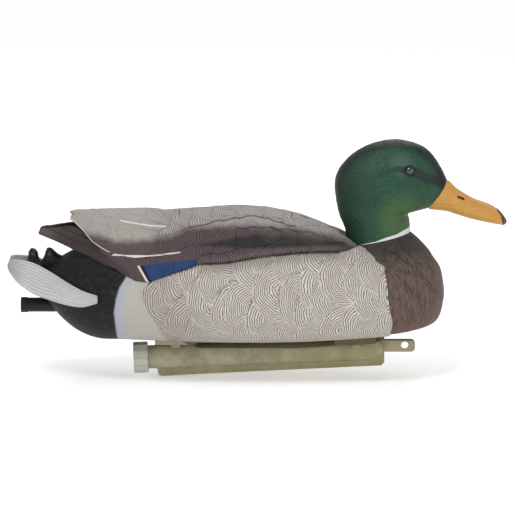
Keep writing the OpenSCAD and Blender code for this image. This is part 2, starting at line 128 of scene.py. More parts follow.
def floor_finish():
    material = bpy.data.materials.new("pale floor")
    material.use_nodes = True
    nodes, links = material.node_tree.nodes, material.node_tree.links
    shader = nodes["Principled BSDF"]
    where, far, glow = (nodes.new("ShaderNode" + kind) for kind in ("TexCoord", "VectorMath", "MapRange"))
    far.operation = "LENGTH"
    for node, values in ((shader, FLOOR_LOOK), (glow, GLOW_BY_DISTANCE)):
        for key, value in values.items():
            node.inputs[key].default_value = value
    links.new(where.outputs["Object"], far.inputs[0])
    links.new(far.outputs["Value"], glow.inputs["Value"])
    links.new(glow.outputs[0], shader.inputs["Emission Color"])
    return material


floor = bpy.data.objects.new("floor", floor_mesh())
bpy.context.scene.collection.objects.link(floor)
floor.data.materials.append(floor_finish())
floor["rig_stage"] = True
print("floor:", len(floor.data.polygons), "faces")

# %% [markdown]
# ## Light
# Carving on matt paint reads best under broad soft light. Three large round lamps in an evenly lit room
# leave no hard shadow.

# %% Lamps and room
ROOM_LIGHT = 0.6
LAMPS = {  # place, size across and power
    "key lamp": ((-0.6, -1.4, 2.0), 0.9, 21),
    "fill lamp": ((1.5, -1.6, 0.8), 1.2, 6),
    "back lamp": ((0.3, 1.6, 1.6), 1.2, 10),
}


def make_lamp(name, place, size, power):
    lamp = bpy.data.objects.new(name, bpy.data.lights.new(name, "AREA"))
    bpy.context.scene.collection.objects.link(lamp)
    lamp.data.shape = "DISK"
    lamp.data.size = size
    lamp.data.energy = power
    lamp.location = place
    lamp.rotation_euler = (LOOK_AT - Vector(place)).to_track_quat("-Z", "Y").to_euler()


def light_room():
    world = bpy.data.worlds.new("soft room")
    world.use_nodes = True
    room = world.node_tree.nodes["Background"]
    room.inputs["Color"].default_value = (1, 1, 1, 1)
    room.inputs["Strength"].default_value = ROOM_LIGHT
    bpy.context.scene.world = world
    bpy.context.scene.view_settings.view_transform = "Standard"


for name, (place, size, power) in LAMPS.items():
    make_lamp(name, place, size, power)
light_room()
print("lamps:", len(LAMPS))

# %% [markdown]
# ## Rows of measures
# A few rows of measures along the bird give each shell its shape. A curve through them fills in the rest,
# which keeps the form fair, as a boat builder's batten does.

# %% Smooth rows
def smooth_rows(rows, steps):
    """Catmull-Rom curve through the rows."""
    rows = np.asarray(rows, float)
    last = len(rows) - 1
    u = np.linspace(0, last, last * steps + 1)
    i = np.minimum(u.astype(int), last - 1)
    t = (u - i)[:, None]
    a, b, c, d = rows[np.maximum(i - 1, 0)], rows[i], rows[i + 1], rows[np.minimum(i + 2, last)]
    bow, twist = 2 * a - 5 * b + 4 * c - d, 3 * b - a - 3 * c + d
    return 0.5 * (2 * b + (c - a) * t + bow * t**2 + twist * t**3)


def rows_at(rows, places, key=0):
    """The smoothed rows, read off where their key column has the given values."""
    fine = smooth_rows(rows, 40)
    return np.stack([np.interp(places, fine[:, key], column) for column in fine.T], 1)


def bend(value, power):
    return np.sign(value) * np.abs(value) ** (2 / power)


def turns(sides, start=-math.pi / 2):
    return start + 2 * math.pi * np.arange(sides) / sides


# %% [markdown]
# ## Rings
# A shell is a row of closed rings. The body's rings stand across it, and the head's lie level, because
# each then meets its own carving squarely. Shrinking rings close an end, so no shell has an open tip.

# %% Rings
def cross_rings(rows, stations, sides, power=2.3):
    """Rings across the body, from under the belly round by the left side."""
    r = rows_at(rows, stations)
    x, low, high, half, middle = (column[:, None] for column in r.T)
    angle = turns(sides)[None]
    y = half * bend(np.cos(angle), power)
    z = middle + np.where(np.sin(angle) > 0, high - middle, middle - low) * bend(np.sin(angle), power)
    return np.stack([x + 0 * y, y, z], 2)


def level_rings(rows, heights, sides):
    """Level rings up a neck, with their own reach back and forward, each leaning by its last value."""
    r = rows_at(rows, heights, key=1)
    x, z, back, front, half, lean = (column[:, None] for column in r.T)
    angle = turns(sides, math.pi)[None]
    reach = np.where(np.cos(angle) > 0, front, back) * np.cos(angle)
    lean = np.radians(lean)
    return np.stack([x + reach * np.cos(lean), half * np.sin(angle), z + reach * np.sin(lean)], 2)


def round_end(rings, depth, last=True, count=6):
    """Adds shrinking rings that close one end with a low dome."""
    end = rings[-1] if last else rings[0]
    before = rings[-2] if last else rings[1]
    centre = end.mean(0)
    outward = centre - before.mean(0)
    outward = outward / np.linalg.norm(outward)
    angles = np.linspace(0, math.pi / 2, count + 1)[1:]
    cap = np.stack([centre + (end - centre) * math.cos(a) + outward * depth * math.sin(a) for a in angles])
    return np.concatenate([rings, cap] if last else [cap[::-1], rings])


def outward_normals(rings):
    around = np.roll(rings, -1, 1) - np.roll(rings, 1, 1)
    along = np.gradient(rings, axis=0)
    normal = np.cross(around, along)
    normal /= np.maximum(np.linalg.norm(normal, axis=2, keepdims=True), 1e-9)
    centre = rings.mean(1, keepdims=True)
    facing = np.sign(((rings - centre) * normal).sum(2, keepdims=True).mean())
    return normal * facing


# %% [markdown]
# ## Skins
# The grid operator lays out the quads, the rings give each corner its place, and welding closes the seam
# and the end poles. Numbers that a paint needs, such as a distance from a painted edge, are worked out
# for each corner and stored on the mesh.

# %% Skins and pieces
def new_piece(name, bm, body, replaced=()):
    mesh = bpy.data.meshes.new(name)
    bm.to_mesh(mesh)
    bm.free()
    mesh.shade_smooth()
    piece = bpy.data.objects.new(name, mesh)
    bpy.context.scene.collection.objects.link(piece)
    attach(piece, body)
    if replaced:
        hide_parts(*replaced)
    return piece


def skin(rings, marks, closed=True):
    """A welded bmesh of the rings; marks are named values for every corner."""
    if closed:
        rings = np.concatenate([rings, rings[:, :1]], 1)
        marks = {name: np.concatenate([m, m[:, :1]], 1) for name, m in marks.items()}
    n, m = rings.shape[:2]
    bm = bmesh.new()
    bmesh.ops.create_grid(bm, x_segments=n - 1, y_segments=m - 1, size=1)
    mesh = bpy.data.meshes.new("layout")
    bm.to_mesh(mesh)
    bm.free()
    flat = np.empty(len(mesh.vertices) * 3)
    mesh.vertices.foreach_get("co", flat)
    flat = flat.reshape(-1, 3)
    i = np.rint((flat[:, 0] + 1) / 2 * (n - 1)).astype(int)
    j = np.rint((flat[:, 1] + 1) / 2 * (m - 1)).astype(int)
    mesh.vertices.foreach_set("co", (rings[i, j] * MM).ravel())
    for name, values in marks.items():
        mark = mesh.attributes.new(name, "FLOAT", "POINT")
        mark.data.foreach_set("value", values[i, j].astype(np.float32))
    bm = bmesh.new()
    bm.from_mesh(mesh)
    bpy.data.meshes.remove(mesh)
    bmesh.ops.remove_doubles(bm, verts=bm.verts, dist=0.01 * MM)
    bmesh.ops.recalc_face_normals(bm, faces=bm.faces)
    return bm


def add_rings(bm, rings, marks):
    """Adds one more closed part to a piece."""
    part = bpy.data.meshes.new("part")
    one = skin(rings, marks)
    one.to_mesh(part)
    one.free()
    bm.from_mesh(part)
    bpy.data.meshes.remove(part)


# %% [markdown]
# ## Lines on the side of the bird
# Painted edges and carved steps are drawn on the bird's side as seen a little from above: forward place
# and slanted height. The same slanted height serves both sides, so the paint is the same left and right.

# %% Lines on the side
def side_height(p):
    return p[..., 2] * math.cos(VIEW_TILT) - np.abs(p[..., 1]) * math.sin(VIEW_TILT)


def side_places(p):
    return p[..., 0], side_height(p)


def line_distance(x, h, line):
    """Distance to an open line of (forward, height) points."""
    best = np.full(np.shape(x), 1e9)
    for (ax, ah), (bx, bh) in zip(line, line[1:]):
        dx, dh = bx - ax, bh - ah
        t = np.clip(((x - ax) * dx + (h - ah) * dh) / (dx * dx + dh * dh), 0, 1)
        best = np.minimum(best, np.hypot(x - ax - t * dx, h - ah - t * dh))
    return best


def above(x, h, line):
    """Signed distance to a line that runs fore and aft: positive above it."""
    ends = sorted(line)
    level = np.interp(x, [p[0] for p in ends], [p[1] for p in ends])
    return line_distance(x, h, line) * np.sign(h - level)


def behind(x, h, line):
    """Signed distance to a line that runs up and down: positive towards the tail."""
    ends = sorted(line, key=lambda p: p[1])
    place = np.interp(h, [p[1] for p in ends], [p[0] for p in ends])
    return line_distance(x, h, line) * np.sign(place - x)


def inside(x, h, outline):
    """Signed distance to a closed outline: positive inside it."""
    odd = np.zeros(np.shape(x), bool)
    for (ax, ah), (bx, bh) in zip(outline, outline[1:] + outline[:1]):
        crosses = (ah > h) != (bh > h)
        odd ^= crosses & (x < ax + (h - ah) * (bx - ax) / (bh - ah if bh != ah else 1e-9))
    return line_distance(x, h, outline + outline[:1]) * np.where(odd, 1, -1)


def step(value, low, high):
    t = np.clip((value - low) / (high - low), 0, 1)
    return t * t * (3 - 2 * t)


# %% [markdown]
# ## Overlapping feathers
# Carved feathers lie like roof tiles. Each one is a round tip on a jittered grid, the foremost tip wins,
# and the distance from its middle drives both the relief and the wavy lines.

# %% A field of feathers
def jitter(i, j, kind):
    """A repeatable number from 0 to 1 for each feather."""
    wave = np.sin(i * 12.9898 + j * 78.233 + kind * 37.719) * 43758.5453
    return wave - np.floor(wave)


def scales(u, v, long, wide, radius):
    """Overlapping round feathers that point towards -u, the foremost on top.

    Gives the distance in mm from the middle of the feather on top, and from the nearest feather edge."""
    seeds = []
    for di in range(-1, int(radius / long) + 3):
        i = np.floor(u / long) + di
        for dj in (-1, 0, 1, 2):
            j = np.floor(v / wide - 0.5 * np.mod(i, 2)) + dj
            su = (i + 0.6 * (jitter(i, j, 1) - 0.5)) * long
            sv = (j + 0.5 * np.mod(i, 2) + 0.4 * (jitter(i, j, 2) - 0.5)) * wide
            seeds.append((su, np.hypot(u - su, v - sv)))
    top = np.full(np.shape(u), -1e9)
    far = np.full(np.shape(u), float(radius))
    for su, d in seeds:
        takes = (d < radius) & (su > top)
        top, far = np.where(takes, su, top), np.where(takes, d, far)
    edge = radius - far
    for su, d in seeds:
        edge = np.where(su > top, np.minimum(edge, np.abs(d - radius)), edge)
    return far, edge


# %% [markdown]
# ## Paint as arithmetic
# A finish is a sum of masks, washes and fine carved lines. A small class wraps a shader socket, so the
# sums read as sums, and each operator adds its Math node.

# %% Arithmetic on sockets
class Value:
    """One shader socket that takes part in ordinary arithmetic."""

    def __init__(self, finish, socket):
        self.finish = finish
        self.socket = socket

    def maths(self, operation, first, second=None):
        inputs = {0: first} if second is None else {0: first, 1: second}
        return self.finish.node("Math", {"operation": operation}, inputs)

    def __add__(self, other):
        return self.maths("ADD", self, other)

    def __radd__(self, other):
        return self.maths("ADD", other, self)

    def __sub__(self, other):
        return self.maths("SUBTRACT", self, other)

    def __rsub__(self, other):
        return self.maths("SUBTRACT", other, self)

    def __mul__(self, other):
        return self.maths("MULTIPLY", self, other)

    def __rmul__(self, other):
        return self.maths("MULTIPLY", other, self)

    def __truediv__(self, other):
        return self.maths("DIVIDE", self, other)

    def sine(self):
        return self.maths("SINE", self)

    def size(self):
        return self.maths("ABSOLUTE", self)

    def step(self, low, high):
        """0 below low, 1 above high, smooth between; high may be the smaller."""
        edges = {"Value": self, "From Min": low, "From Max": high}
        return self.finish.node("MapRange", {"interpolation_type": "SMOOTHSTEP"}, edges)


# %% [markdown]
# ## Finishes
# A finish is one material being mixed. One method adds any node, and only what varies over the surface
# is linked. Colours come from a colour card, so they are turned from screen values into light.

# %% Finishes
def paint(red, green, blue):
    """A paint colour given on the 0 to 255 scale of a colour card."""
    light = (((c / 255 + 0.055) / 1.055) ** 2.4 if c > 10 else c / 255 / 12.92 for c in (red, green, blue))
    return (*light, 1)


class Finish:
    """A material under construction."""

    def __init__(self, name):
        self.material = bpy.data.materials.new(name)
        self.material.use_nodes = True
        self.tree = self.material.node_tree
        self.shader = self.tree.nodes["Principled BSDF"]

    def node(self, kind, settings=None, inputs=None, out=0):
        made = self.tree.nodes.new("ShaderNode" + kind)
        for key, setting in (settings or {}).items():
            setattr(made, key, setting)
        for key, given in (inputs or {}).items():
            if isinstance(given, Value):
                self.tree.links.new(given.socket, made.inputs[key])
            else:
                made.inputs[key].default_value = given
        return Value(self, made.outputs[out])

    def mark(self, name):
        return self.node("Attribute", {"attribute_name": name}, out="Fac")

    def place(self):
        """Object coordinates in millimetres."""
        metres = self.node("TexCoord", out="Object")
        return self.node("VectorMath", {"operation": "SCALE"}, {0: metres, "Scale": 1 / MM})

    def noise(self, size, detail=3, roughness=0.55, stretch=(1, 1, 1)):
        """Cloudy noise from 0 to 1 whose lumps are about size mm across."""
        by = tuple(s / size for s in stretch)
        where = self.node("VectorMath", {"operation": "MULTIPLY"}, {0: self.place(), 1: by})
        inputs = {"Vector": where, "Scale": 1, "Detail": detail, "Roughness": roughness}
        return self.node("TexNoise", None, inputs)

    def mix(self, factor, first, second):
        return self.node("Mix", {"data_type": "RGBA"}, {0: factor, 6: first, 7: second}, out=2)

    def mix_value(self, factor, first, second):
        return self.node("Mix", {"data_type": "FLOAT"}, {0: factor, 2: first, 3: second})

    def bump(self, height, depth):
        """Adds carved relief; depth is the height in mm of a full step."""
        return self.node("Bump", None, {"Height": height, "Distance": depth * MM})

    def done(self, *pieces, shine=0.25, **sockets):
        """Sets or links the shader's sockets and gives the material to the pieces."""
        self.shader.inputs["Specular IOR Level"].default_value = shine
        for key, given in sockets.items():
            socket = self.shader.inputs[key.replace("_", " ")]
            if isinstance(given, Value):
                self.tree.links.new(given.socket, socket)
            else:
                socket.default_value = given
        for piece in pieces:
            piece.data.materials.clear()
            piece.data.materials.append(self.material)
        return self.material


# %% [markdown]
# ## The body's rows and lines
# The body is one shell from rump to shoulder. The folded wing and the back stand a little proud of the
# flank along one long line. The bright wing patch, its bars, the white rump strip and the dark areas are
# painted by their distance from lines like these, drawn as (forward, height) points.

# %% Rows and lines of the body
BODY_ROWS = [(-192, 78, 92, 9, 85), (-182, 65, 98, 21, 82), (-170, 51, 106, 34, 80),
    (-154, 39.5, 115, 46, 78), (-135, 34, 130, 57, 77), (-105, 33.5, 141, 67, 77),
    (-60, 32, 145.5, 75, 77), (-10, 31.5, 148, 78, 76), (30, 32, 142, 77, 75), (65, 33.5, 129, 73, 74),
    (90, 35, 120, 68, 73), (112, 36.5, 114, 61.5, 71)]
BACK_LINE = [(-51, 96.6), (-24, 98.3), (-1, 102.7), (12, 104.1), (29, 105.9), (47, 106.7), (68, 107),
    (78, 109.6), (88, 114)]
WING_LINE = [(-190, 123.5), (-175, 116.9), (-159, 109.2), (-147, 104.5), (-132, 96.7), (-122, 92.8),
    (-114, 87.4), (-105, 82.7), (-94, 81.5), (-75, 88.1), (-60, 93.4)]
UPPER_LINE = WING_LINE + BACK_LINE
PATCH = [(-99.5, 95.9), (-54, 100.9), (-51, 97), (-60, 93.4), (-75, 88.1), (-92.5, 82.2)]
DARK_BAR = [(-101, 95.4), (-98.5, 95.9), (-91.5, 82.4), (-93.8, 81.4)]
WHITE_BAR = [(-102.6, 95.2), (-94.6, 81.6)]
RUMP_LINE = [(-113.5, 92), (-114.5, 85.3), (-119.5, 77.4), (-122.5, 67.9), (-124.5, 55.7), (-123.5, 45.2),
    (-121.5, 25)]
LACES = [
    [(-125, 104.6), (-111, 104.4), (-96, 104.2), (-84, 104.8), (-67, 106.8)],
    [(-119, 134.8), (-105, 132.2), (-94, 130.5), (-80, 129.6)],
]
FEATHER_EDGES = [
    [(-49, 104), (-40, 105.6), (-33, 105), (-27, 107), (-21, 107.4), (-15, 111), (-6, 110.6), (1, 111.4),
        (7, 111), (12, 114), (18, 117)],
    [(-60, 128), (-43, 131.3), (-36, 134), (-29, 134.2), (-22, 136.4), (-16, 136), (-10, 138), (-4, 138.6),
        (4, 136.3), (9, 136), (13, 133.6), (20, 132.6), (24, 130), (32, 129)],
    [(36, 139), (42, 136.6), (48, 135.8), (53, 133), (58, 131.6), (63, 128.6), (68, 126.8), (72, 123.5),
        (77, 122)],
    [(-20, 128), (-12, 127), (-6, 129), (2, 127.5), (10, 128.6), (16, 126), (25, 127), (34, 124),
        (44, 124.4), (52, 121)],
]
FLANK_REAR = [(-94, 80.9), (-100, 74), (-99, 65.2), (-94, 56.5), (-88, 47.3), (-79, 30)]
CHEST_LINE = [(75, 125), (88, 114), (96, 109.6), (107.4, 100), (110.2, 94.8), (112.3, 68.7), (114, 56),
    (116.5, 47.8), (116, 30)]
VEIL = [(-165, 127), (-146, 123.5), (-125, 118), (-95, 117), (-75, 122), (-60, 128), (0, 129), (30, 127),
    (50, 123.4), (70, 118), (85, 113), (110, 112)]
CORE = [(-50, 113), (-20, 119), (0, 121.5), (30, 120), (50, 117.5), (74, 113), (60, 110), (30, 110),
    (0, 110), (-25, 110.5)]
print("body:", len(BODY_ROWS), "rows of measures")


# %% Distances that the paint follows
def nearest(x, h, lines):
    return np.min([line_distance(x, h, line) for line in lines], 0)


def body_marks(p):
    """The paint distances that the body, the hatch and the folded back share."""
    x, h = side_places(p)
    return {
        "forward": x + 0 * h,
        "high": h,
        "strip": step(x, -58, -42) * (1 - step(x, 60, 84)),
        "rise": above(x, h, UPPER_LINE),
        "veil": above(x, h, VEIL),
        "core": inside(x, h, CORE),
        "front": -behind(x, h, CHEST_LINE),
        "rump": behind(x, h, RUMP_LINE),
        "plain": behind(x, h, FLANK_REAR),
        "patch": inside(x, h, PATCH),
        "dark_bar": inside(x, h, DARK_BAR),
        "white_bar": line_distance(x, h, WHITE_BAR),
        "lace": nearest(x, h, LACES),
        "edges": nearest(x, h, FEATHER_EDGES),
    }


# %% [markdown]
# ## Carving on the body
# The feathers are low pillows that are really in the mesh: larger on the flank, smaller on the back. The
# wing line is a ledge with a groove under it, and the shell steps down where it passes under the breast.

# %% Relief of the body
def girth(rings):
    """Distance round each ring from the widest line: positive above it, negative below."""
    length = np.linalg.norm(np.roll(rings, -1, 1) - rings, axis=2)
    ahead = np.concatenate([np.zeros((len(rings), 1)), np.cumsum(length, 1)[:, :-1]], 1)
    quarter = rings.shape[1] // 4
    near = ahead - ahead[:, quarter:quarter + 1]
    far = ahead[:, 3 * quarter:3 * quarter + 1] - ahead
    return np.where(np.arange(rings.shape[1]) <= 2 * quarter, near, far)


def crease(distance, half_wide):
    """1 on a line, fading to 0 at either side."""
    return np.exp(-((distance / half_wide) ** 2))


def body_relief(p, v, marks):
    """Carved height in mm, and the feather distances that the paint follows."""
    x, rise, plain = p[..., 0], marks["rise"], marks["plain"]
    upper = step(rise, -0.5, 0.5)
    flank, flank_tip = scales(x, v, 19, 29, 27)
    back, back_tip = scales(x, v - 4, 18, 19, 20)
    belly = step(p[..., 2], 36, 50)
    pillows = 0.24 * step(flank, 8, 25) * (1 - upper) + 0.4 * step(back, 6, 20) * upper
    pillows = pillows * belly * (1 - step(plain, -1, 2))
    shoulder = step(-x, -78, -66)
    ledge = shoulder * (1.5 * upper * (1 - 0.5 * step(rise, 3, 25)) - 0.9 * crease(rise, 1.1))
    wing = 1.2 * crease(rise - 5, 6) * step(x, -60, -40) * shoulder
    flank_edge = 0.9 * (1 - step(plain, -1.2, 0.4)) * step(-rise, 0, 2) * belly
    height = pillows - 0.6 * crease(marks["edges"], 0.8) + (ledge + wing) * step(x, -150, -120)
    height = height + flank_edge - 2.2 * step(marks["front"], -0.7, 0.9)
    tip = np.minimum(np.where(upper > 0.5, back_tip, flank_tip), 9)
    return height, np.where(upper > 0.5, back, flank), tip


# %% [markdown]
# ## The body skin
# The shell's front end follows the curve of the breast line, so the two skins meet along it. The rings
# are then pushed out by the relief, and both ends are rounded off.

# %% Body skin
END_RINGS = 6


def with_ends(values, first, last):
    return np.concatenate([np.repeat(values[:1], first, 0), values, np.repeat(values[-1:], last, 0)])


body_base = cross_rings(BODY_ROWS, np.linspace(-192, 112, 238), 328)
body_x, body_h = side_places(body_base)
ends = sorted((h, x) for x, h in CHEST_LINE)
short = np.clip(np.interp(body_h, [h for h, x in ends], [x for h, x in ends]) - 115, -7, 2)
body_base[..., 0] += short * step(body_x, 60, 112) * step(np.abs(body_base[..., 1]), 10, 35)
body_values = body_marks(body_base)
relief, field, tip = body_relief(body_base, girth(body_base), body_values)
body_values |= {"field": field, "tip": tip}
body_rings = body_base + outward_normals(body_base) * relief[..., None]
body_rings = round_end(round_end(body_rings, 5), 4, last=False)
body_values = {name: with_ends(values, END_RINGS, END_RINGS) for name, values in body_values.items()}
body_mesh = skin(body_rings, body_values)
print("body skin:", len(body_mesh.faces), "faces")

# %% [markdown]
# ## Cutting the hatch, the neck seat and the intake
# The hatch lid is the same carved surface as the back, so both are cut from one mesh. Planes slice the
# faces near an outline, which keeps the carving and its numbers exact along the cut. The body's edge is
# then carried down into a pocket, and the lid gets a thickness.

# %% Outlines and open edges
def round_outline(x, y, long, wide, radius, turns_each=5):
    """Plan of a rectangle with round corners, going round anticlockwise."""
    points = []
    for k, (sx, sy) in enumerate([(1, 1), (-1, 1), (-1, -1), (1, -1)]):
        for t in range(turns_each + 1):
            a = math.pi / 2 * (k + t / turns_each)
            points.append((x + sx * (long / 2 - radius) + radius * math.cos(a),
                y + sy * (wide / 2 - radius) + radius * math.sin(a)))
    return points


def oval(x, y, along, across, count=40):
    return [(x + along * math.cos(a), y + across * math.sin(a)) for a in turns(count)]


def open_edges(bm):
    return [e for e in bm.edges if e.is_boundary]


def carry(bm, edges, move):
    """Extrudes an open edge; move gives each new corner its place from its old one, in mm."""
    made = bmesh.ops.extrude_edge_only(bm, edges=edges)["geom"]
    for v in (g for g in made if isinstance(g, bmesh.types.BMVert)):
        v.co = Vector(move(*(v.co / MM))) * MM
    return [g for g in made if isinstance(g, bmesh.types.BMEdge)]


# %% A cutter
CUT_REACH = 2.5


class Cutter:
    """A convex plan outline swept upwards, leaning by lean per unit of height away from the level `at`."""

    def __init__(self, outline, low, high, lean=0.0, at=0.0):
        self.sides = [(a, b) for a, b in zip(outline, outline[1:] + outline[:1]) if math.dist(a, b) > 0.01]
        self.low, self.high, self.lean, self.at = low, high, lean, at

    def plan(self, point):
        return point.x / MM - self.lean * (point.z / MM - self.at), point.y / MM

    def plan_of(self, face):
        """Where a face's middle lies in the plan, or None outside the cutter's heights."""
        middle = face.calc_center_median()
        return self.plan(middle) if self.low < middle.z / MM < self.high else None

    def slice(self, bm):
        for (ax, ay), (bx, by) in self.sides:
            length = math.dist((ax, ay), (bx, by))
            tx, ty = (bx - ax) / length, (by - ay) / length
            faces = []
            for f in bm.faces:
                place = self.plan_of(f)
                if place is None:
                    continue
                dx, dy = place[0] - ax, place[1] - ay
                along, aside = dx * tx + dy * ty, dx * ty - dy * tx
                if -CUT_REACH < along < length + CUT_REACH and abs(aside) < CUT_REACH:
                    faces.append(f)
            geometry = [*faces, *{e for f in faces for e in f.edges}, *{v for f in faces for v in f.verts}]
            normal = Vector((tx, ty, 0)).cross(Vector((self.lean, 0, 1)))
            bmesh.ops.bisect_plane(bm, geom=geometry, dist=1e-7, plane_no=normal,
                plane_co=Vector((ax, ay, self.at)) * MM)

    def holds(self, place):
        x, y = place
        return all((bx - ax) * (y - ay) - (by - ay) * (x - ax) > -0.001 for (ax, ay), (bx, by) in self.sides)

    def faces(self, bm):
        return [f for f in bm.faces if (place := self.plan_of(f)) is not None and self.holds(place)]

    def cut(self, bm):
        """Takes the inside away and returns the open edge that it leaves."""
        bmesh.ops.delete(bm, geom=self.faces(bm), context="FACES")
        return open_edges(bm)


# %% [markdown]
# ## The hatch
# On the real bird a lid in the back covers the battery. It could be modelled apart, but then its carving
# would not meet the back's. Here one outline is sliced through the back, a copy keeps the inside as the
# lid, and the hull keeps the rest. A gap of half a millimetre lets the lid open.

# %% The hatch and its pocket
HATCH_X, HATCH_L, HATCH_W, HATCH_R, HATCH_GAP = -20, 98, 62, 12, 0.5
BELOW_BACK, ABOVE_BACK = 110, 200
DRY_BOX_RIM = 61
hatch_hole = Cutter(round_outline(HATCH_X, 0, HATCH_L, HATCH_W, HATCH_R), BELOW_BACK, ABOVE_BACK)
hatch_edge = Cutter(round_outline(HATCH_X, 0, HATCH_L - 2 * HATCH_GAP, HATCH_W - 2 * HATCH_GAP,
    HATCH_R - HATCH_GAP), BELOW_BACK, ABOVE_BACK)
hinge_notch = Cutter([(-33, 30), (3, 30), (3, 40), (-33, 40)], BELOW_BACK, ABOVE_BACK)
hatch_hole.slice(body_mesh)
lid_mesh = body_mesh.copy()
hatch_edge.slice(lid_mesh)
kept = set(hatch_edge.faces(lid_mesh))
bmesh.ops.delete(lid_mesh, geom=[f for f in lid_mesh.faces if f not in kept], context="FACES")
hinge_notch.slice(body_mesh)
bmesh.ops.delete(body_mesh, geom=hinge_notch.faces(body_mesh), context="FACES")
rim = hatch_hole.cut(body_mesh)
rim = carry(body_mesh, rim, lambda x, y, z: (x, y, z - 3))
rim = carry(body_mesh, rim, lambda x, y, z: (HATCH_X + (x - HATCH_X) * 1.06, y * 1.1, z - 0.2))
rim = carry(body_mesh, rim, lambda x, y, z: (x, y, DRY_BOX_RIM))
bmesh.ops.holes_fill(body_mesh, edges=rim, sides=0)

# %% The lid's underside
LID_THICK = 2.6
under = bmesh.ops.duplicate(lid_mesh, geom=lid_mesh.verts[:] + lid_mesh.edges[:] + lid_mesh.faces[:])["geom"]
for v in (g for g in under if isinstance(g, bmesh.types.BMVert)):
    v.co.z -= LID_THICK * MM
bmesh.ops.bridge_loops(lid_mesh, edges=open_edges(lid_mesh))
bmesh.ops.recalc_face_normals(lid_mesh, faces=lid_mesh.faces)
hatch_skin = new_piece("hatch_skin", lid_mesh, "hatch", ["hatch_lid"])
print("hatch skin:", len(hatch_skin.data.polygons), "faces")

# %% [markdown]
# ## Intake and neck seat
# Water enters the pump through a round hole under the tail, and the neck plug turns in a round seat. Both
# are holes in a shell, so an outline is cut and its open edge is carried inwards as a wall.

# %% The intake and the neck seat
PUMP_X, PUMP_Y, THROAT = -120, -11, 17
intake = Cutter(oval(PUMP_X, PUMP_Y, THROAT, THROAT), 0, 60)
intake.slice(body_mesh)
rim = intake.cut(body_mesh)
rim = carry(body_mesh, rim, lambda x, y, z: (x, y, 56))
bmesh.ops.holes_fill(body_mesh, edges=rim, sides=0)

NECK = Vector((104, 0, 121))
NECK_LEAN = math.radians(12)
NECK_R = 28.5
WELL_R, WELL_DEEP = 21.1, 18.6
neck_seat = Cutter(oval(NECK.x, 0, 31.6 / math.cos(NECK_LEAN), 31.6), 100, 200, -math.tan(NECK_LEAN), NECK.z)
neck_seat.slice(body_mesh)
rim = neck_seat.cut(body_mesh)
rim = carry(body_mesh, rim, lambda x, y, z: (x * 0.97 + 3, y * 0.97, 97))
bmesh.ops.holes_fill(body_mesh, edges=rim, sides=0)
bmesh.ops.triangulate(body_mesh, faces=[f for f in body_mesh.faces if len(f.verts) > 4])
bmesh.ops.recalc_face_normals(body_mesh, faces=body_mesh.faces)
body_skin = new_piece("body_skin", body_mesh, "hull", ["body_shell"])
print("body skin:", len(body_skin.data.polygons), "faces")

# %% [markdown]
# ## Breast
# The breast is a loft of level rings that narrow upwards to the flat neck seat, with a round well for the
# neck plug. Its feathers hang down, so the same feather field runs in height here.

# %% Breast
CHEST_ROWS = [(95, 37.2, 12, 12, 14, 0), (95, 39, 22, 22, 28, 0), (95, 43, 44, 44, 44, 0),
    (95, 49, 58, 58, 53, 0), (95, 60, 64, 64, 59, 0), (95, 75, 65.5, 65.5, 61, 0),
    (97, 93, 60.5, 60.5, 55, 1), (99, 103, 51.5, 51.5, 46, 3), (102.5, 111.5, 41.5, 41.5, 37, 6),
    (104, 121, 28.5, 28.5, 28.5, 12)]


def neck_ring(radius, up, sides):
    """A ring about the leaning neck axis, up mm above the joint."""
    a = turns(sides, math.pi)
    c, s = math.cos(NECK_LEAN), math.sin(NECK_LEAN)
    return np.stack([NECK.x + radius * np.cos(a) * c - up * s, radius * np.sin(a),
        NECK.z + radius * np.cos(a) * s + up * c], 1)[None]


CHEST_SIDES = 300
heights = np.concatenate([np.linspace(37.3, 48, 16), np.linspace(49, 120.9, 118)])
chest = level_rings(CHEST_ROWS, heights, CHEST_SIDES)
hoop = np.linalg.norm(np.roll(chest, -1, 1) - chest, axis=2)
chest_v = np.cumsum(hoop, 1) - hoop.sum(1, keepdims=True) / 2
chest_field, chest_tip = scales(np.abs(chest_v), chest[..., 2] * 1.1, 13, 21, 19)
carved_part = step(chest[..., 2], 40, 52) * (1 - step(chest[..., 2], 108, 117))
chest_relief = 0.9 * step(chest_field, 5, 19) * carved_part
chest = chest + outward_normals(chest) * chest_relief[..., None]
well = [neck_ring(radius, -depth, CHEST_SIDES) for radius, depth in
    ((NECK_R, 0), (WELL_R, 0), (WELL_R, WELL_DEEP), (0, WELL_DEEP))]
chest = np.concatenate([round_end(chest, 1, last=False), *well])
chest_x, chest_h = side_places(chest)
chest_marks = {"high": chest_h, "field": with_ends(chest_field, END_RINGS, len(well)),
    "tip": with_ends(chest_tip, END_RINGS, len(well)), "front": np.full(chest_x.shape, 20.0)}
breast_skin = new_piece("breast_skin", skin(chest, chest_marks), "hull", ["body_shell"])
print("breast skin:", len(breast_skin.data.polygons), "faces")

# %% [markdown]
# ## Back plumes
# The long back feathers overhang the rump as one carved sheet with a lobed end. It is an open arch of
# rings, and the Solidify modifier gives it a thickness, so its rim stays crisp.

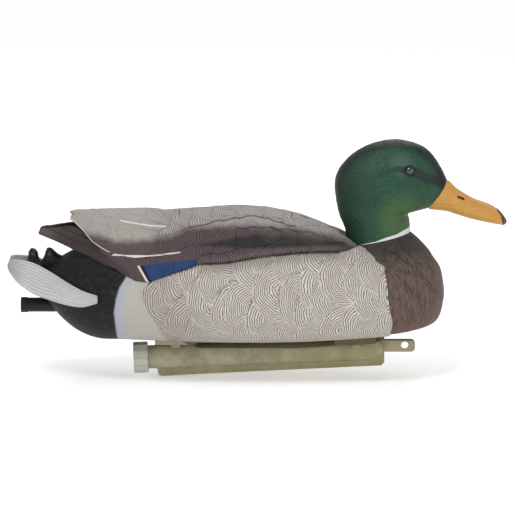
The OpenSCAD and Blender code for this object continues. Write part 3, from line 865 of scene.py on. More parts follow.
# %% Back plumes
MANTLE_ROWS = [(-162, 138.8, 144.5, 9), (-158, 137, 145.6, 14), (-154, 133, 146, 20), (-146, 125, 146, 31),
    (-141, 120.8, 146, 37), (-134, 117.4, 146, 44), (-127, 114.8, 146.1, 50), (-111, 112, 146.2, 58),
    (-98, 113, 146.2, 62.5), (-87, 114.5, 145.4, 63), (-79, 115.5, 143.8, 61.5), (-71, 116.5, 141.5, 60)]
r = rows_at(MANTLE_ROWS, np.linspace(-162, -71, 100))
arc = np.linspace(0, math.pi, 150)[None]
x, rim_z, top, half = (column[:, None] for column in r.T)
plume_z = rim_z + (top - rim_z) * bend(np.sin(arc), 2.0)
plumes = np.stack([x + 0 * arc, half * bend(np.cos(arc), 2.3), plume_z], 2)
plume_x = plumes[..., 0]  # a view, so it follows the moves below
lobe = np.cos(arc * 4) * (1 - step(plume_x, -162, -148))
plumes[..., 0] -= 2.0 * lobe
across = (arc - math.pi / 2) * half
vane, vane_tip = scales(plume_x + 0.2 * np.abs(across), across, 24, 15, 21)
fade = step(-plume_x, 72, 90)
plumes += outward_normals(plumes) * ((0.4 * step(vane, 8, 21) - 0.4 + 0.4 * fade) * fade)[..., None]
plume_marks = body_marks(plumes)
rim_far = np.minimum(arc, math.pi - arc) * half
rim_lace = np.abs(rim_far - 1.1) + 5 * (1 - step(-plume_x, 126, 128)) * (1 - step(plume_x, -125, -124))
plume_marks |= {"field": vane, "tip": vane_tip, "lace": np.minimum(plume_marks["lace"], rim_lace)}
plume_mesh = skin(plumes, plume_marks, closed=False)
back_plumes = new_piece("back_plumes", plume_mesh, "hull", ["body_shell"])
thick = back_plumes.modifiers.new("thickness", "SOLIDIFY")
thick.thickness = 2.4 * MM
thick.offset = -1
print("back plumes:", len(back_plumes.data.polygons), "faces before thickness")

# %% [markdown]
# ## Flight feathers and tail sides
# On the mould each group of long feathers is one thick blade with carved grooves. A blade is a closed
# ring grid too: its outer face, its inner face and two round ends.

# %% Blades
BLADE_THICK = 3
BLADE_ENDS = 3
VANE_WIDE = 6.2


def there_and_back(outer, inner):
    """One closed ring from two faces that share their edges."""
    return np.concatenate([outer, inner[:, -2:0:-1]], 1)


def blade(rows, stations, across, side, relief):
    """A thin carved blade: rows of (forward, low height, low reach, high height, high reach, bulge)."""
    r = rows_at(rows, stations)
    x, low_h, low_y, high_h, high_y, bulge = (column[:, None] for column in r.T)
    s = (1 - np.cos(np.linspace(0, math.pi, across)))[None] / 2
    x, s = x + 0 * s, s + 0 * x
    h, y = low_h + (high_h - low_h) * s, low_y + (high_y - low_y) * s
    z = (h + y * math.sin(VIEW_TILT)) / math.cos(VIEW_TILT)
    rise_y, rise_z = high_y - low_y, high_h - low_h
    length = np.hypot(rise_y, rise_z)
    out_y, out_z = rise_z / length, -rise_y / length
    puff = BLADE_THICK / 2 * (1 - np.abs(2 * s - 1) ** 6) ** 0.5
    arch = bulge * 4 * s * (1 - s)
    faces = []
    for off in (arch + puff + relief(x, h, s) * puff * 2 / BLADE_THICK, arch - puff):
        faces.append(np.stack([x, side * (y + out_y * off), z + out_z * off], 2))
    rings = there_and_back(*faces)
    rings = round_end(round_end(rings, 1, count=BLADE_ENDS), 1, last=False, count=BLADE_ENDS)
    high, across = (with_ends(there_and_back(m, m), BLADE_ENDS, BLADE_ENDS) for m in (h, s))
    rise = line_distance(rings[..., 0], high, WING_LINE)
    vane = np.abs(np.mod(rise + VANE_WIDE / 2, VANE_WIDE) - VANE_WIDE / 2)
    return skin(rings, {"forward": rings[..., 0], "high": high, "across": across, "vane": vane})


def primary_relief(x, h, s):
    """Each flight feather's lower edge laps over the next."""
    return 1.1 * np.mod(line_distance(x, h, WING_LINE), VANE_WIDE) / VANE_WIDE - 0.6


def tail_relief(x, h, s):
    """Fine ribs along the leaf, with a deeper line down its middle."""
    return 0.18 * np.sin(s * 2 * math.pi * 8.5) - 0.45 * crease(s - 0.5, 0.03)


# %% Flight feathers and tail leaves
PRIMARY_ROWS = [(-190, 123.7, 12, 126, 9, 0), (-187.5, 122.2, 13, 127.6, 9, 0.4),
    (-175, 116.9, 19.5, 129, 11, 0.8), (-165, 112.2, 24.5, 130.4, 12, 0.8),
    (-159, 109.2, 29, 130, 13, 0.8), (-147, 104.5, 40, 127, 17, 0.8), (-132, 96.7, 55, 117, 32, 0.6),
    (-122, 92.8, 61, 112, 38, 0.6), (-114, 88.5, 64.5, 107, 45, 0.5), (-104, 88, 63.5, 100, 54, 0.5)]
TAIL_ROWS = [(-217, 92.5, 17, 98.5, 14.5, 0), (-215.5, 89.6, 19.5, 101, 14, 0.3),
    (-209, 81.6, 27, 101.2, 15, 0.8), (-198, 73.6, 35, 99.2, 18, 1.5), (-190, 69.6, 41, 96, 22, 2),
    (-178, 65.7, 48, 89.5, 30, 2.5), (-163, 61.4, 51, 80.4, 42, 2.5), (-151, 60.2, 53, 74.2, 50, 2),
    (-139, 63.3, 56.5, 70.3, 56, 1)]
BLADES = {
    "flight_feathers_": (PRIMARY_ROWS, np.linspace(-190, -104, 110), 60, primary_relief),
    "tail_leaf_": (TAIL_ROWS, -178 - 39 * np.cos(np.linspace(0, math.pi, 110)), 70, tail_relief),
}
for word, side in (("right", -1), ("left", 1)):
    for name, (rows, stations, across, carve) in BLADES.items():
        new_piece(name + word, blade(rows, stations, across, side, carve), "hull", ["body_shell"])
print("flight feathers and tail leaves made, two of each")

# %% [markdown]
# ## Middle tail and curls
# The short middle feathers make a fan between the sides, and two curled feathers stand up on the rump.
# Rings along the bird shape both, with their height rising and falling twice for the curls.

# %% Middle tail feathers and curls
TAIL_MIDDLE = [(-213, 94.5, 97.5, 6, 96), (-208, 93.5, 98.7, 14, 96.2), (-198, 91.5, 97.7, 20, 95.2),
    (-188, 87.5, 94, 26, 91.3), (-175, 80, 88, 32, 84.5), (-165, 75, 82, 35, 79)]
CURL_ROWS = [(-201.5, 93, 101, 2.5, 96.5), (-200.6, 91, 106.5, 4.5, 98), (-199.2, 90, 111, 6, 99.5),
    (-196.4, 89, 112.4, 7, 100), (-193.6, 88, 111.3, 7.5, 99.5), (-191.8, 88, 107.5, 7.5, 98.5),
    (-190.3, 88, 103.4, 7.6, 97.5), (-187.6, 88, 103.6, 8, 98), (-186, 88, 107.5, 8.3, 98.5),
    (-184.6, 88, 111.6, 8.5, 99.4), (-181.9, 88, 113, 9, 100.5), (-179.2, 88, 112, 9.3, 100),
    (-177, 88, 109.8, 9.6, 99.5), (-173.8, 88, 107.2, 10, 99), (-169.5, 88, 105.9, 10, 98),
    (-163, 88, 107.2, 10, 98), (-154, 90, 107, 8, 98)]
middle = cross_rings(TAIL_MIDDLE, np.linspace(-213, -165, 90), 160, 2.6)
ripple = np.cos(middle[..., 1] / (8 - 0.05 * (middle[..., 0] + 213)) * math.pi)
middle += outward_normals(middle) * (0.3 * ripple)[..., None]
middle = round_end(round_end(middle, 1), 1.5, last=False)
middle_marks = {"forward": middle[..., 0], "high": middle[..., 2], "across": middle[..., 1] / 10}
tail_middle = new_piece("tail_middle", skin(middle, middle_marks), "hull", ["body_shell"])

curls = cross_rings(CURL_ROWS, np.linspace(-201.5, -154, 128), 96, 2.2)
ribs = np.cos((curls[..., 0] * 0.9 + curls[..., 2] * 1.3) / 3.2 * math.pi)
curls += outward_normals(curls) * (0.22 * ribs)[..., None]
curls = round_end(round_end(curls, 1), 1, last=False)
tail_curls = new_piece("tail_curls", skin(curls, {"forward": curls[..., 0]}), "hull", ["body_shell"])
print("tail middle and curls made")

# %% [markdown]
# ## Head
# The head is another loft of level rings, starting from the leaning neck joint. Small swellings make the
# brow, the cheek and the rim about the eye.

# %% Head
HEAD_ROWS = [(103.92, 121.39, 28.5, 28.5, 28.5, 12), (102.5, 133, 27.6, 28.6, 27, 8),
    (101, 141.5, 30.2, 29.2, 26, 3), (101.5, 145.5, 32.4, 35.5, 25.5, 0),
    (102.5, 149.5, 34.3, 48.5, 25.2, 0), (105, 157, 38, 56.3, 26, 0), (107, 166, 40.9, 58, 26.5, 0),
    (108, 175, 41, 54, 25.5, 0), (110, 184, 38.8, 47.5, 23.5, 0), (113, 194, 32.6, 37.8, 19.5, 0),
    (116.5, 201.5, 24.2, 25.6, 14, 0), (118, 205.7, 13.6, 13.2, 7.5, 0), (118, 207.4, 4, 4, 2.5, 0)]
HEAD_SIDES = 280
JOINT_GAP = 0.4
EYE = Vector((130.4, 18.9, 182.4))
EYE_R = 3.9


def swelling(p, centre, sizes):
    """A smooth bump from 0 to 1 on both sides of the head."""
    d = np.stack([p[..., 0], np.abs(p[..., 1]), p[..., 2]], -1) - np.array(centre)
    return np.exp(-((d / np.array(sizes)) ** 2).sum(-1))


heights = np.concatenate([np.linspace(121.5, 203, 176), 207.3 - 4 * np.linspace(0.97, 0, 14) ** 2])
head = level_rings(HEAD_ROWS, heights, HEAD_SIDES)
eye_far = np.hypot(head[..., 0] - EYE.x, head[..., 2] - EYE.z)
head_relief = (0.9 * swelling(head, (127, 20, 191), (15, 9, 4))
    + 0.9 * swelling(head, (128, 26, 165), (20, 12, 12))
    - 0.9 * swelling(head, (146, 22, 176), (12, 12, 6)) - 1.3 * (1 - step(eye_far, 3.6, 6.4))
    + 0.5 * crease(eye_far - 6.2, 1.1))
along, upwards = head[..., 0] * 0.8 + head[..., 2] * 0.5, head[..., 2] * 0.8 - head[..., 0] * 0.5
head_field = scales(along, upwards, 6, 8, 8)[0]
head_relief = (head_relief + 0.18 * step(head_field, 2, 8)) * step(head[..., 2], 123, 128)
head = head + outward_normals(head) * head_relief[..., None]
joint = [neck_ring(radius, JOINT_GAP, HEAD_SIDES) for radius in (0, NECK_R)]
head = np.concatenate([*joint, head, head[-1:] * 0 + head[-1].mean(0)])
head_x, head_h = side_places(head)
RING_TOP = [(70, 108), (87, 113.6), (101, 116.6), (110, 120.1), (119, 122.8), (131, 129.6), (140, 134)]
BILL_EDGE = [(149.9, 144), (150.5, 148.3), (153.2, 152), (156.9, 155), (160, 160.3), (161, 166.3),
    (158.9, 173.1), (156, 178)]
STRIPE = [(161, 166.5), (146, 171.5), (131, 177.5), (120, 179), (108, 177)]
head_marks = {"forward": head_x, "high": head_h, "side": np.abs(head[..., 1]),
    "ring": above(head_x, head_h, RING_TOP), "bill_edge": behind(head_x, head_h, BILL_EDGE),
    "stripe": line_distance(head_x, head_h, STRIPE),
    "field": with_ends(head_field, len(joint), 1)}
head_skin = new_piece("head_skin", skin(head, head_marks), "head", ["head_shell"])
print("head skin:", len(head_skin.data.polygons), "faces")

# %% [markdown]
# ## Bill
# The bill is smooth, so a loft of rings along it is enough. The nostrils, the groove along the side and
# the nail at the tip are pushed in or out by their distance from a line.

# %% Bill
BILL_ROWS = [(148, 146.5, 170, 13, 157), (163, 144.8, 172.2, 12.5, 156), (172, 142, 164.8, 11.5, 150),
    (186, 137.8, 156.3, 12, 145), (199, 135.1, 151.5, 14, 141), (207, 133.6, 146.8, 13.5, 139),
    (212, 132.9, 141.5, 10, 137.5), (214, 134, 138.5, 5, 136.5)]
NOSTRIL = [(173.2, 155.5), (177.6, 153.8)]
NAIL = [(206, 147), (207, 143), (209.6, 139.6), (211.6, 131)]
BILL_GROOVE = [(150, 149), (172, 147), (190, 141.5), (205, 138), (212, 136.5)]
bill = cross_rings(BILL_ROWS, 148 + 66 * np.linspace(0, 1, 150) ** 0.9, 160, 2.2)
bill_x, bill_h = side_places(bill)
nostril = line_distance(bill_x, bill_h, NOSTRIL)
bill_relief = (-1.3 * (1 - step(nostril, 0.5, 1.7)) + 0.35 * crease(nostril - 2.2, 0.8)
    - 0.45 * crease(above(bill_x, bill_h, BILL_GROOVE), 0.7)
    + 0.4 * step(-behind(bill_x, bill_h, NAIL), 0, 0.8))
bill = round_end(bill + outward_normals(bill) * bill_relief[..., None], 1.2)
bill = round_end(bill, 1, last=False)
bill_x, bill_h = side_places(bill)
bill_marks = {"forward": bill_x, "high": bill_h, "nostril": line_distance(bill_x, bill_h, NOSTRIL),
    "nail": -behind(bill_x, bill_h, NAIL)}
bill_piece = new_piece("bill", skin(bill, bill_marks), "head", ["head_shell"])
print("bill:", len(bill_piece.data.polygons), "faces")

# %% [markdown]
# ## Eyes
# Each eye is a turned dome of dark glass set in a rim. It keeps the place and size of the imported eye.

# %% Eyes
def turned(profile, sides, place, aim):
    """A round piece turned from (radius, height) points, its axis along aim, in mm."""
    radius, height = (np.array(column)[:, None] for column in zip(*profile))
    a = turns(sides)[None]
    rings = np.stack([radius * np.cos(a), radius * np.sin(a), height + 0 * a], 2)
    turn = np.array(Vector(aim).to_track_quat("Z", "Y").to_matrix())
    return rings @ turn.T + np.array(place)


EYE_DOME = 2.6
EYE_PROFILE = [(0, -4), (3.2, -4), (4.0, -1.5)]
EYE_PROFILE += [(EYE_R * math.cos(a), EYE_DOME * math.sin(a)) for a in np.linspace(0, math.pi / 2, 16)]
eyes_mesh = bmesh.new()
for side in (-1, 1):
    rings = turned(EYE_PROFILE, 48, (EYE.x, side * (EYE.y + 1.6), EYE.z), (0.12, side, 0.1))
    far = np.broadcast_to(np.array([p[0] for p in EYE_PROFILE])[:, None], rings.shape[:2])
    add_rings(eyes_mesh, rings, {"radius": far})
eyes_piece = new_piece("eye_pair", eyes_mesh, "head", ["eyes"])
print("eyes:", len(eyes_piece.data.polygons), "faces")

# %% [markdown]
# ## Hatch frame
# Under the lid a rounded skirt drops into the gasket, and two hinge knuckles stand on short arms.

# %% Hatch frame
SKIRT_LOW, SKIRT_HIGH = 129.1, 139.6
HINGE = (-15, 35, 141.6)
KNUCKLES = (-17, 8.3)
KNUCKLE_LONG = 8.7
KNUCKLE = [(1.5, 0), (2.3, 0), (2.6, 0.3), (2.6, 8.4), (2.3, KNUCKLE_LONG), (1.5, KNUCKLE_LONG), (1.5, 0)]
ARM_Y, ARM_Z, ARM_SIZE = 30.5, 141.8, (KNUCKLE_LONG, 5, 3.2)
frame_mesh = bmesh.new()
outer = round_outline(HATCH_X, 0, 94, 58, 10)
inner = round_outline(HATCH_X, 0, 90, 54, 8)
section = [[(ox, oy, SKIRT_LOW), (ox, oy, SKIRT_HIGH), (ix, iy, SKIRT_HIGH), (ix, iy, SKIRT_LOW)]
    for (ox, oy), (ix, iy) in zip(outer, inner)]
add_rings(frame_mesh, np.array(section + section[:1]), {})
for first in KNUCKLES:
    place = (HINGE[0] + first, HINGE[1], HINGE[2])
    add_rings(frame_mesh, turned(KNUCKLE, 32, place, (1, 0, 0)), {})
    arm = Matrix.Translation(Vector((HINGE[0] + first + KNUCKLE_LONG / 2, ARM_Y, ARM_Z)) * MM)
    bmesh.ops.create_cube(frame_mesh, size=1, matrix=arm @ Matrix.Diagonal(Vector(ARM_SIZE) * MM).to_4x4())
bmesh.ops.recalc_face_normals(frame_mesh, faces=frame_mesh.faces)
hatch_frame = new_piece("hatch_frame", frame_mesh, "hatch", ["hatch_lid"])
print("hatch frame:", len(hatch_frame.data.polygons), "faces")

# %% [markdown]
# ## Wash and crests
# Every carved skin has two tones: a dark wash that sits in the carved lines, and a dry highlight on their
# crests. The fine wavy lines across each feather are too small for the mesh, so they are bump and colour.

# %% Carved lines
FLANK_HIGH, FLANK_LOW = paint(211, 206, 197), paint(92, 84, 77)
BACK_HIGH, BACK_LOW = paint(181, 175, 169), paint(108, 100, 96)
MAUVE_HIGH, MAUVE_LOW = paint(98, 82, 84), paint(50, 40, 42)
CORE_HIGH, CORE_LOW = paint(56, 50, 51), paint(20, 19, 20)
CHEST_HIGH, CHEST_LOW = paint(106, 90, 82), paint(52, 41, 38)
CARVING_REST = 0.37


def ridges(finish, period, wobble=1.0):
    """Wavy carved lines that follow the feathers: 0 in a groove, 1 on a crest, at rest along a tip."""
    wander = finish.noise(6, 2) * 2.6 * wobble + finish.noise(24, 1) * 9 * wobble
    wave = ((finish.mark("field") + wander) * (2 * math.pi / period)).sine() * 0.5 + 0.5
    whole = finish.mark("tip").step(0.25, 1.35)
    return (wave - CARVING_REST) * whole + CARVING_REST


# %% [markdown]
# ## Colours that several skins share
# The back's colours run over the hull, the hatch and the plumes, and the breast's run over two skins. Each
# is one function, so the paint meets without a break where the skins join.

# %% Back and breast colours
def coat_colour(f, back):
    """The folded back and wing: pale above, mauve then near black lower down, a lighter strip at the edge."""
    rise, forward = f.mark("rise"), f.mark("forward")
    blur = (f.noise(15, 3) - 0.5) * 7
    fine = f.noise(2.2, 3, 0.6)
    pale = f.mix(back, BACK_LOW, BACK_HIGH)
    mauve = f.mix(back, MAUVE_LOW, MAUVE_HIGH)
    core = f.mix(back, CORE_LOW, CORE_HIGH)
    colour = f.mix((f.mark("veil") + blur).step(-4, 5), mauve, pale)
    colour = f.mix((f.mark("core") + blur * 0.7).step(-2.5, 2.5), colour, core)
    strip = (rise + blur * 0.3).step(6, 2.5) * f.mark("strip")
    colour = f.mix(strip * 0.7, colour, f.mix(back, paint(66, 56, 56), paint(112, 100, 98)))
    colour = f.mix(f.mark("edges").step(1.1, 0.3) * 0.7, colour, paint(34, 30, 31))
    blue = f.mix(fine, paint(16, 42, 80), paint(40, 72, 120))
    colour = f.mix(f.mark("patch").step(-0.2, 0.3), colour, blue)
    colour = f.mix(f.mark("dark_bar").step(-0.2, 0.2), colour, paint(16, 18, 22))
    colour = f.mix(f.mark("white_bar").step(1.1, 0.7), colour, paint(205, 203, 198))
    return f.mix(f.mark("lace").step(0.9, 0.45), colour, paint(206, 205, 202))


def chest_colour(f, wave):
    cloud = f.noise(20, 3)
    high = f.mark("high") + (cloud - 0.5) * 16
    furrow = f.noise(4.5, 3, 0.55, (1, 1, 0.3))
    tone = wave * 0.35 + furrow.step(0.3, 0.62) * 0.5 + f.noise(2.0, 3, 0.6) * 0.2
    colour = f.mix(tone, CHEST_LOW, CHEST_HIGH)
    colour = f.mix(high.step(72, 44) * 0.3, colour, paint(104, 70, 62))
    return f.mix(high.step(90, 112) * 0.75, colour, paint(42, 39, 42))


# %% [markdown]
# ## Body paint
# The flank comes first, then each darker or paler area is laid over it by its distance from an edge, as a
# painter masks one colour after another.

# %% Body paint
def body_paint(*pieces):
    f = Finish("carved body paint")
    rise, rump, front = f.mark("rise"), f.mark("rump"), f.mark("front")
    blotch = f.noise(16, 3)
    fine = f.noise(2.2, 3, 0.6)
    wave = ridges(f, 1.95, 0.9)
    fine_wave = ridges(f, 1.9, 0.7)
    speck = f.noise(3.2, 2, 0.4).step(0.7, 0.78) * 0.6
    colour = f.mix(wave.step(0.05, 0.6) * 0.85 + fine * 0.2, FLANK_LOW, FLANK_HIGH)
    colour = f.mix(speck, colour, FLANK_LOW)
    colour = f.mix(blotch.step(0.45, 0.75) * 0.3, colour, paint(176, 154, 144))
    colour = f.mix(f.mark("plain").step(-60, 0) * 0.32, colour, paint(112, 100, 92))
    plain = f.mark("plain").step(-0.5, 1.0)
    colour = f.mix(plain, colour, f.mix(fine * 0.5 + wave * 0.4, paint(158, 154, 145), paint(184, 181, 173)))
    white = (rump + (blotch - 0.5) * 3).step(-11, -5) * plain
    colour = f.mix(white * 0.85, colour, paint(160, 164, 176))
    # Painted shadow: the flank turns greyer just under the ledge of the folded wing, where the ledge shades
    # it.
    shade = rise.step(-13, -1) * rise.step(0.5, 0) * f.mark("strip")
    colour = f.mix(shade * 0.6, colour, paint(112, 108, 99))
    colour = f.mix(rise.step(-0.4, 0.2), colour, coat_colour(f, fine_wave))
    colour = f.mix(front.step(-0.3, 0.3), colour, chest_colour(f, wave))
    # Painted sheen: greenish streaks over the black rump, which also give it a faint bump.
    sheen_streaks = f.noise(3, 3, 0.6, (0.35, 1, 1)).step(0.45, 0.8)
    black = f.mix(sheen_streaks, paint(10, 12, 13), paint(30, 42, 37))
    forward = f.mark("forward")
    under_wing = rise.step(-0.4, 0.4) * forward.step(-158, -148)
    is_rump = (rump + (fine - 0.5) * 1.2).step(-1.6, 0.8) * forward.step(-100, -108) * (1 - under_wing)
    colour = f.mix(is_rump, colour, black)
    # Painted shade: a dark line in the carved groove along the wing line.
    groove = rise.size().step(1.5, 0.2) * f.mark("strip") * 0.8
    colour = f.mix(groove, colour, paint(52, 44, 42))
    quiet = (1 - plain * rise.step(0.5, -0.5) * 0.85) * (1 - is_rump)
    carving = f.mix_value(rise.step(-0.3, 0.3), wave, fine_wave * 0.7) * quiet
    bump = f.bump(carving + sheen_streaks * is_rump * 0.5 + fine * 0.12, 0.5)
    return f.done(*pieces, Base_Color=colour, Roughness=0.6, Normal=bump)


body_finish = body_paint(body_skin, hatch_skin)
print("painted with", len(body_finish.node_tree.nodes), "nodes:", body_finish.name)

# %% [markdown]
# ## Paint on the breast, the plumes and the tail
# Each of these pieces has one main colour with a wash in its grooves, so their finishes are short. Fine
# streaks follow the feathers' length, which a stretched noise gives.

# %% Breast, plumes and blades
def breast_paint(piece):
    f = Finish("carved breast paint")
    wave = ridges(f, 3.4, 1.0)
    furrow = f.noise(4.5, 3, 0.55, (1, 1, 0.3))
    relief = wave * 0.5 + furrow.step(0.3, 0.62) * 0.9 + f.noise(2.4, 3) * 0.2
    f.done(piece, Base_Color=chest_colour(f, wave), Roughness=0.6, Normal=f.bump(relief, 0.6))


def plume_paint(piece):
    f = Finish("back plume paint")
    wave = ridges(f, 2.3, 0.8)
    fine = f.noise(2.2, 3, 0.6)
    barb = f.noise(1.6, 3, 0.6, (0.25, 1, 1))
    forward = f.mark("forward")
    smooth_part = forward.step(-84, -104)
    colour = coat_colour(f, f.mix_value(smooth_part, wave, barb * 0.6 + 0.3))
    # Painted shade: a little darker close to each feather's edge, where the feather above laps over it.
    colour = f.mix(f.mark("tip").step(0.9, 0.3) * 0.16, colour, paint(66, 58, 58))
    relief = f.mix_value(smooth_part, wave * 0.7, barb * 0.5)
    f.done(piece, Base_Color=colour, Roughness=0.6, Normal=f.bump(relief + fine * 0.2, 0.45))


def flight_paint(*pieces):
    f = Finish("flight feather paint")
    barb = f.noise(1.5, 3, 0.6, (0.3, 1, 1))
    colour = f.mix(barb, paint(38, 30, 30), paint(67, 56, 55))
    colour = f.mix(f.mark("forward").step(-168, -188) * 0.6, colour, paint(98, 86, 86))
    groove = f.mark("vane").step(0.8, 0.2)
    colour = f.mix(groove * 0.5, colour, paint(22, 17, 17))
    f.done(*pieces, Base_Color=colour, Roughness=0.5, Normal=f.bump(barb * 0.5 - groove * 0.6, 0.35))


def tail_paint(*pieces):
    f = Finish("pale tail paint")
    across = f.mark("across") + (f.noise(26, 1, 0.5) - 0.5) * 0.12
    barb = f.noise(1.6, 3, 0.6, (0.2, 1, 1))
    quill = (across * 2 * math.pi * 9).sine().step(0.72, 0.97)
    colour = f.mix(barb * 0.6 + f.noise(18, 2) * 0.4, paint(164, 164, 166), paint(206, 206, 206))
    colour = f.mix(quill * 0.38, colour, paint(96, 96, 98))
    colour = f.mix(f.mark("forward").step(-198, -217) * 0.5, colour, paint(128, 128, 132))
    f.done(*pieces, Base_Color=colour, Roughness=0.55, Normal=f.bump(barb * 0.5 - quill * 0.7, 0.35))


def curl_paint(piece):
    f = Finish("curl paint")
    fine = f.noise(2, 3, 0.6)
    colour = f.mix(fine.step(0.4, 0.8), paint(10, 12, 13), paint(26, 34, 32))
    f.done(piece, Base_Color=colour, Roughness=0.38, Normal=f.bump(fine, 0.15))


made = bpy.data.objects
breast_paint(breast_skin)
plume_paint(back_plumes)
flight_paint(made["flight_feathers_right"], made["flight_feathers_left"])
tail_paint(made["tail_leaf_right"], made["tail_leaf_left"], tail_middle)
curl_paint(tail_curls)
print("painted the breast, the plumes, the flight feathers and the tail")

# %% [markdown]
# ## Paint on the head, the bill and the eyes
# The head is a satin green with a dark crown and a soft dark stripe through the eye. The stripe, the white
# ring and the bill's edge come from distances stored on the mesh, and the painted sheen on the brow and the
# yellow-green throat patch from a place in space.

# %% Head, bill and eyes
def swell(f, place, size):
    """1 near a place on either side of the head, fading to 0 at size mm."""
    where = f.node("VectorMath", {"operation": "ABSOLUTE"}, {0: f.place()})
    far = f.node("VectorMath", {"operation": "DISTANCE"}, {0: where, 1: place}, out="Value")
    return far.step(size, size * 0.3)


def head_paint(piece):
    f = Finish("satin head paint")
    high, forward, side = f.mark("high"), f.mark("forward"), f.mark("side")
    cloud = f.noise(13, 3)
    neck = high.step(150, 138)
    level, upright = (f.noise(1.1, 3, 0.6, stretch) for stretch in ((0.35, 1, 0.9), (1, 1, 0.25)))
    strand = f.mix_value(neck, level, upright)
    colour = f.mix(strand.step(0.2, 0.85) * 0.6 + cloud * 0.35, paint(11, 38, 27), paint(48, 95, 70))
    # Painted sheen: a pale green-grey patch on the brow above the eye, where light catches the satin head.
    colour = f.mix(swell(f, (124, 21, 188), 15) * 0.5, colour, paint(74, 100, 94))
    colour = f.mix(swell(f, (124, 24, 140), 30) * 0.4, colour, paint(84, 112, 50))
    colour = f.mix(forward.step(104, 76) * 0.6, colour, paint(26, 44, 36))
    wide = forward.step(110, 150) * 2.5 + 2.5
    stripe = ((f.mark("stripe") + (cloud - 0.5) * 3) / wide).step(1.3, 0.6) * forward.step(100, 126)
    colour = f.mix(stripe * 0.8, colour, paint(26, 36, 38))
    crown = (side + (cloud - 0.5) * 8).step(17, 10) * high.step(146, 168)
    colour = f.mix(crown * 0.85, colour, f.mix(strand, paint(16, 19, 18), paint(36, 38, 37)))
    colour = f.mix(f.mark("bill_edge").size().step(1.8, 0.6) * 0.8, colour, paint(16, 20, 18))
    ring = (f.mark("ring") + (strand - 0.5) * 0.8).step(0.3, -0.3)
    colour = f.mix(ring, colour, paint(206, 207, 208))
    f.done(piece, Base_Color=colour, Roughness=0.5 + ring * 0.1, Normal=f.bump(strand, 0.3))


def bill_paint(piece):
    f = Finish("bill paint")
    cloud = f.noise(12, 3)
    fine = f.noise(1.6, 3, 0.6)
    colour = f.mix(cloud, paint(178, 126, 60), paint(198, 152, 80))
    colour = f.mix((f.mark("nail") + (cloud - 0.5) * 1.5).step(-0.2, 0.5), colour, paint(58, 44, 36))
    colour = f.mix(f.mark("nostril").step(1.2, 0.6), colour, paint(30, 22, 18))
    f.done(piece, Base_Color=colour, Roughness=0.45, Normal=f.bump(fine, 0.1))


def eye_paint(piece):
    f = Finish("eye gloss")
    iris = f.mark("radius").step(3.3, 3.7)
    colour = f.mix(iris, paint(6, 5, 5), paint(16, 13, 12))
    f.done(piece, shine=0.6, Base_Color=colour, Roughness=0.06, Coat_Weight=1.0)


head_paint(head_skin)
bill_paint(bill_piece)
eye_paint(eyes_piece)
print("painted the head, the bill and the eyes")

# %% [markdown]
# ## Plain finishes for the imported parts
# The fittings keep their exact shapes. Each gets a simple finish with a little wear, so none is flat.

# %% Plain finishes
def plain_finish(name, light, dark, rough, metal=0.0, grain=6, depth=0.06):
    f = Finish(name)
    cloud = f.noise(grain, 4, 0.6)
    return f.done(Base_Color=f.mix(cloud, paint(*dark), paint(*light)), Metallic=metal,
        Roughness=rough + (cloud - 0.5) * 0.12, Normal=f.bump(f.noise(1.1, 2), depth))


def keel_finish():
    """Pale weathered olive, yellower towards the front and the rim, with a painted shadow of the belly over
    the web and the top of the tube.
    """
    f = Finish("weathered keel plastic with painted shadow")
    cloud, fine = f.noise(14, 4, 0.6), f.noise(1.6, 3, 0.6)
    forward, high = (f.node("SeparateXYZ", None, {0: f.place()}, out=axis) for axis in ("X", "Z"))
    colour = f.mix(cloud.step(0.3, 0.7), paint(146, 141, 116), paint(178, 173, 150))
    colour = f.mix((forward + (cloud - 0.5) * 60).step(-40, 70) * 0.45, colour, paint(152, 145, 98))
    colour = f.mix((high - forward * 0.035).step(13, 7) * 0.45, colour, paint(138, 131, 84))
    # Painted shadow of the belly: the web and the top of the tube are darker under the hull, and the line
    # rises at both ends.
    edge = 25.4 + forward.step(30, 110) * 5.5 + forward.step(-50, -70) * 8
    colour = f.mix((high - edge + (cloud - 0.5) * 1.6).step(-0.6, 0.9) * 0.85, colour, paint(78, 72, 46))
    return f.done(Base_Color=colour, Roughness=0.55, Normal=f.bump(fine + cloud * 0.5, 0.15))


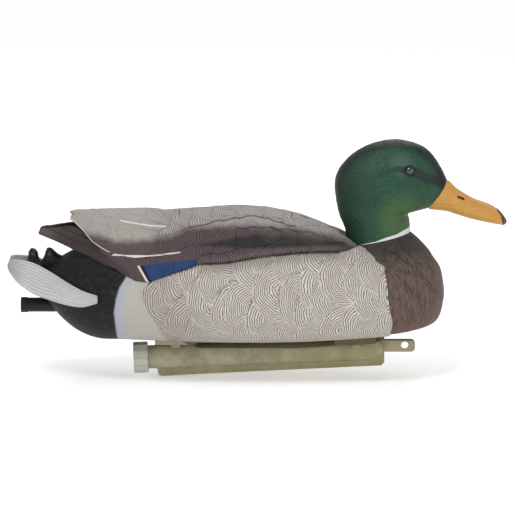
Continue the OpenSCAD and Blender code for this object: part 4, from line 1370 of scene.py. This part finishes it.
PLAIN = {  # name, light and dark colour, roughness, then metal, grain and depth where they differ
    "grey_plastic": ("grey plastic", (128, 128, 126), (104, 104, 104), 0.5),
    "black_plastic": ("black plastic", (34, 34, 36), (18, 18, 20), 0.42),
    "white_plastic": ("cap plastic", (200, 201, 190), (178, 179, 166), 0.5),
    "red_plastic": ("red rocker plastic", (176, 36, 30), (140, 24, 22), 0.38),
    "black_rubber": ("black rubber", (40, 40, 40), (22, 22, 22), 0.8),
    "strap_web": ("strap web", (52, 56, 46), (30, 33, 27), 0.9, 0.0, 1.5, 0.3),
    "battery_wrap": ("battery wrap", (52, 74, 104), (34, 52, 80), 0.4),
    "brass_tabs": ("brass tabs", (206, 172, 96), (176, 140, 70), 0.3, 1.0),
    "red_lead": ("red lead", (190, 30, 26), (150, 20, 18), 0.45),
    "black_lead": ("black lead", (34, 34, 34), (18, 18, 18), 0.45),
    "clear_hose": ("milky hose", (214, 216, 208), (188, 190, 182), 0.3),
    "steel": ("steel", (150, 151, 152), (112, 113, 114), 0.36, 1.0),
    "magnet": ("dark magnet", (70, 70, 74), (46, 46, 50), 0.4, 0.6),
    "copper_windings": ("copper windings", (200, 112, 66), (150, 76, 42), 0.35, 1.0, 1.2, 0.3),
    "ballast_iron": ("rusty ballast iron", (110, 84, 68), (66, 50, 42), 0.75, 0.3),
}
FINISHES = {slot: plain_finish(*look) for slot, look in PLAIN.items()}
FINISHES |= {"olive_plastic": keel_finish(), "painted_skin": body_finish, "painted_head": body_finish,
    "eye_gloss": body_finish}
PAINTED_OVER = {"keel_screws": "olive_plastic", "hinge_pin": "grey_plastic"}
for part in frame["record"]["subparts"]:
    slot = PAINTED_OVER.get(part["node"], part["material_slot"])
    node = frame["nodes"][part["node"]]
    node.data.materials.clear()
    node.data.materials.append(FINISHES[slot])
hatch_frame.data.materials.append(FINISHES["grey_plastic"])
print("finished", len(frame["nodes"]), "packed parts")

# %% Finish
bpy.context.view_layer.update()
for piece in bpy.context.scene.objects:
    if piece.type == "MESH" and "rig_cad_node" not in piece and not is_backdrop(piece):
        check = bmesh.new()
        check.from_mesh(piece.data)
        print(piece.name, "faces", len(check.faces), "open edges", sum(e.is_boundary for e in check.edges),
            "crowded edges", sum(len(e.link_faces) > 2 for e in check.edges))
        check.free()
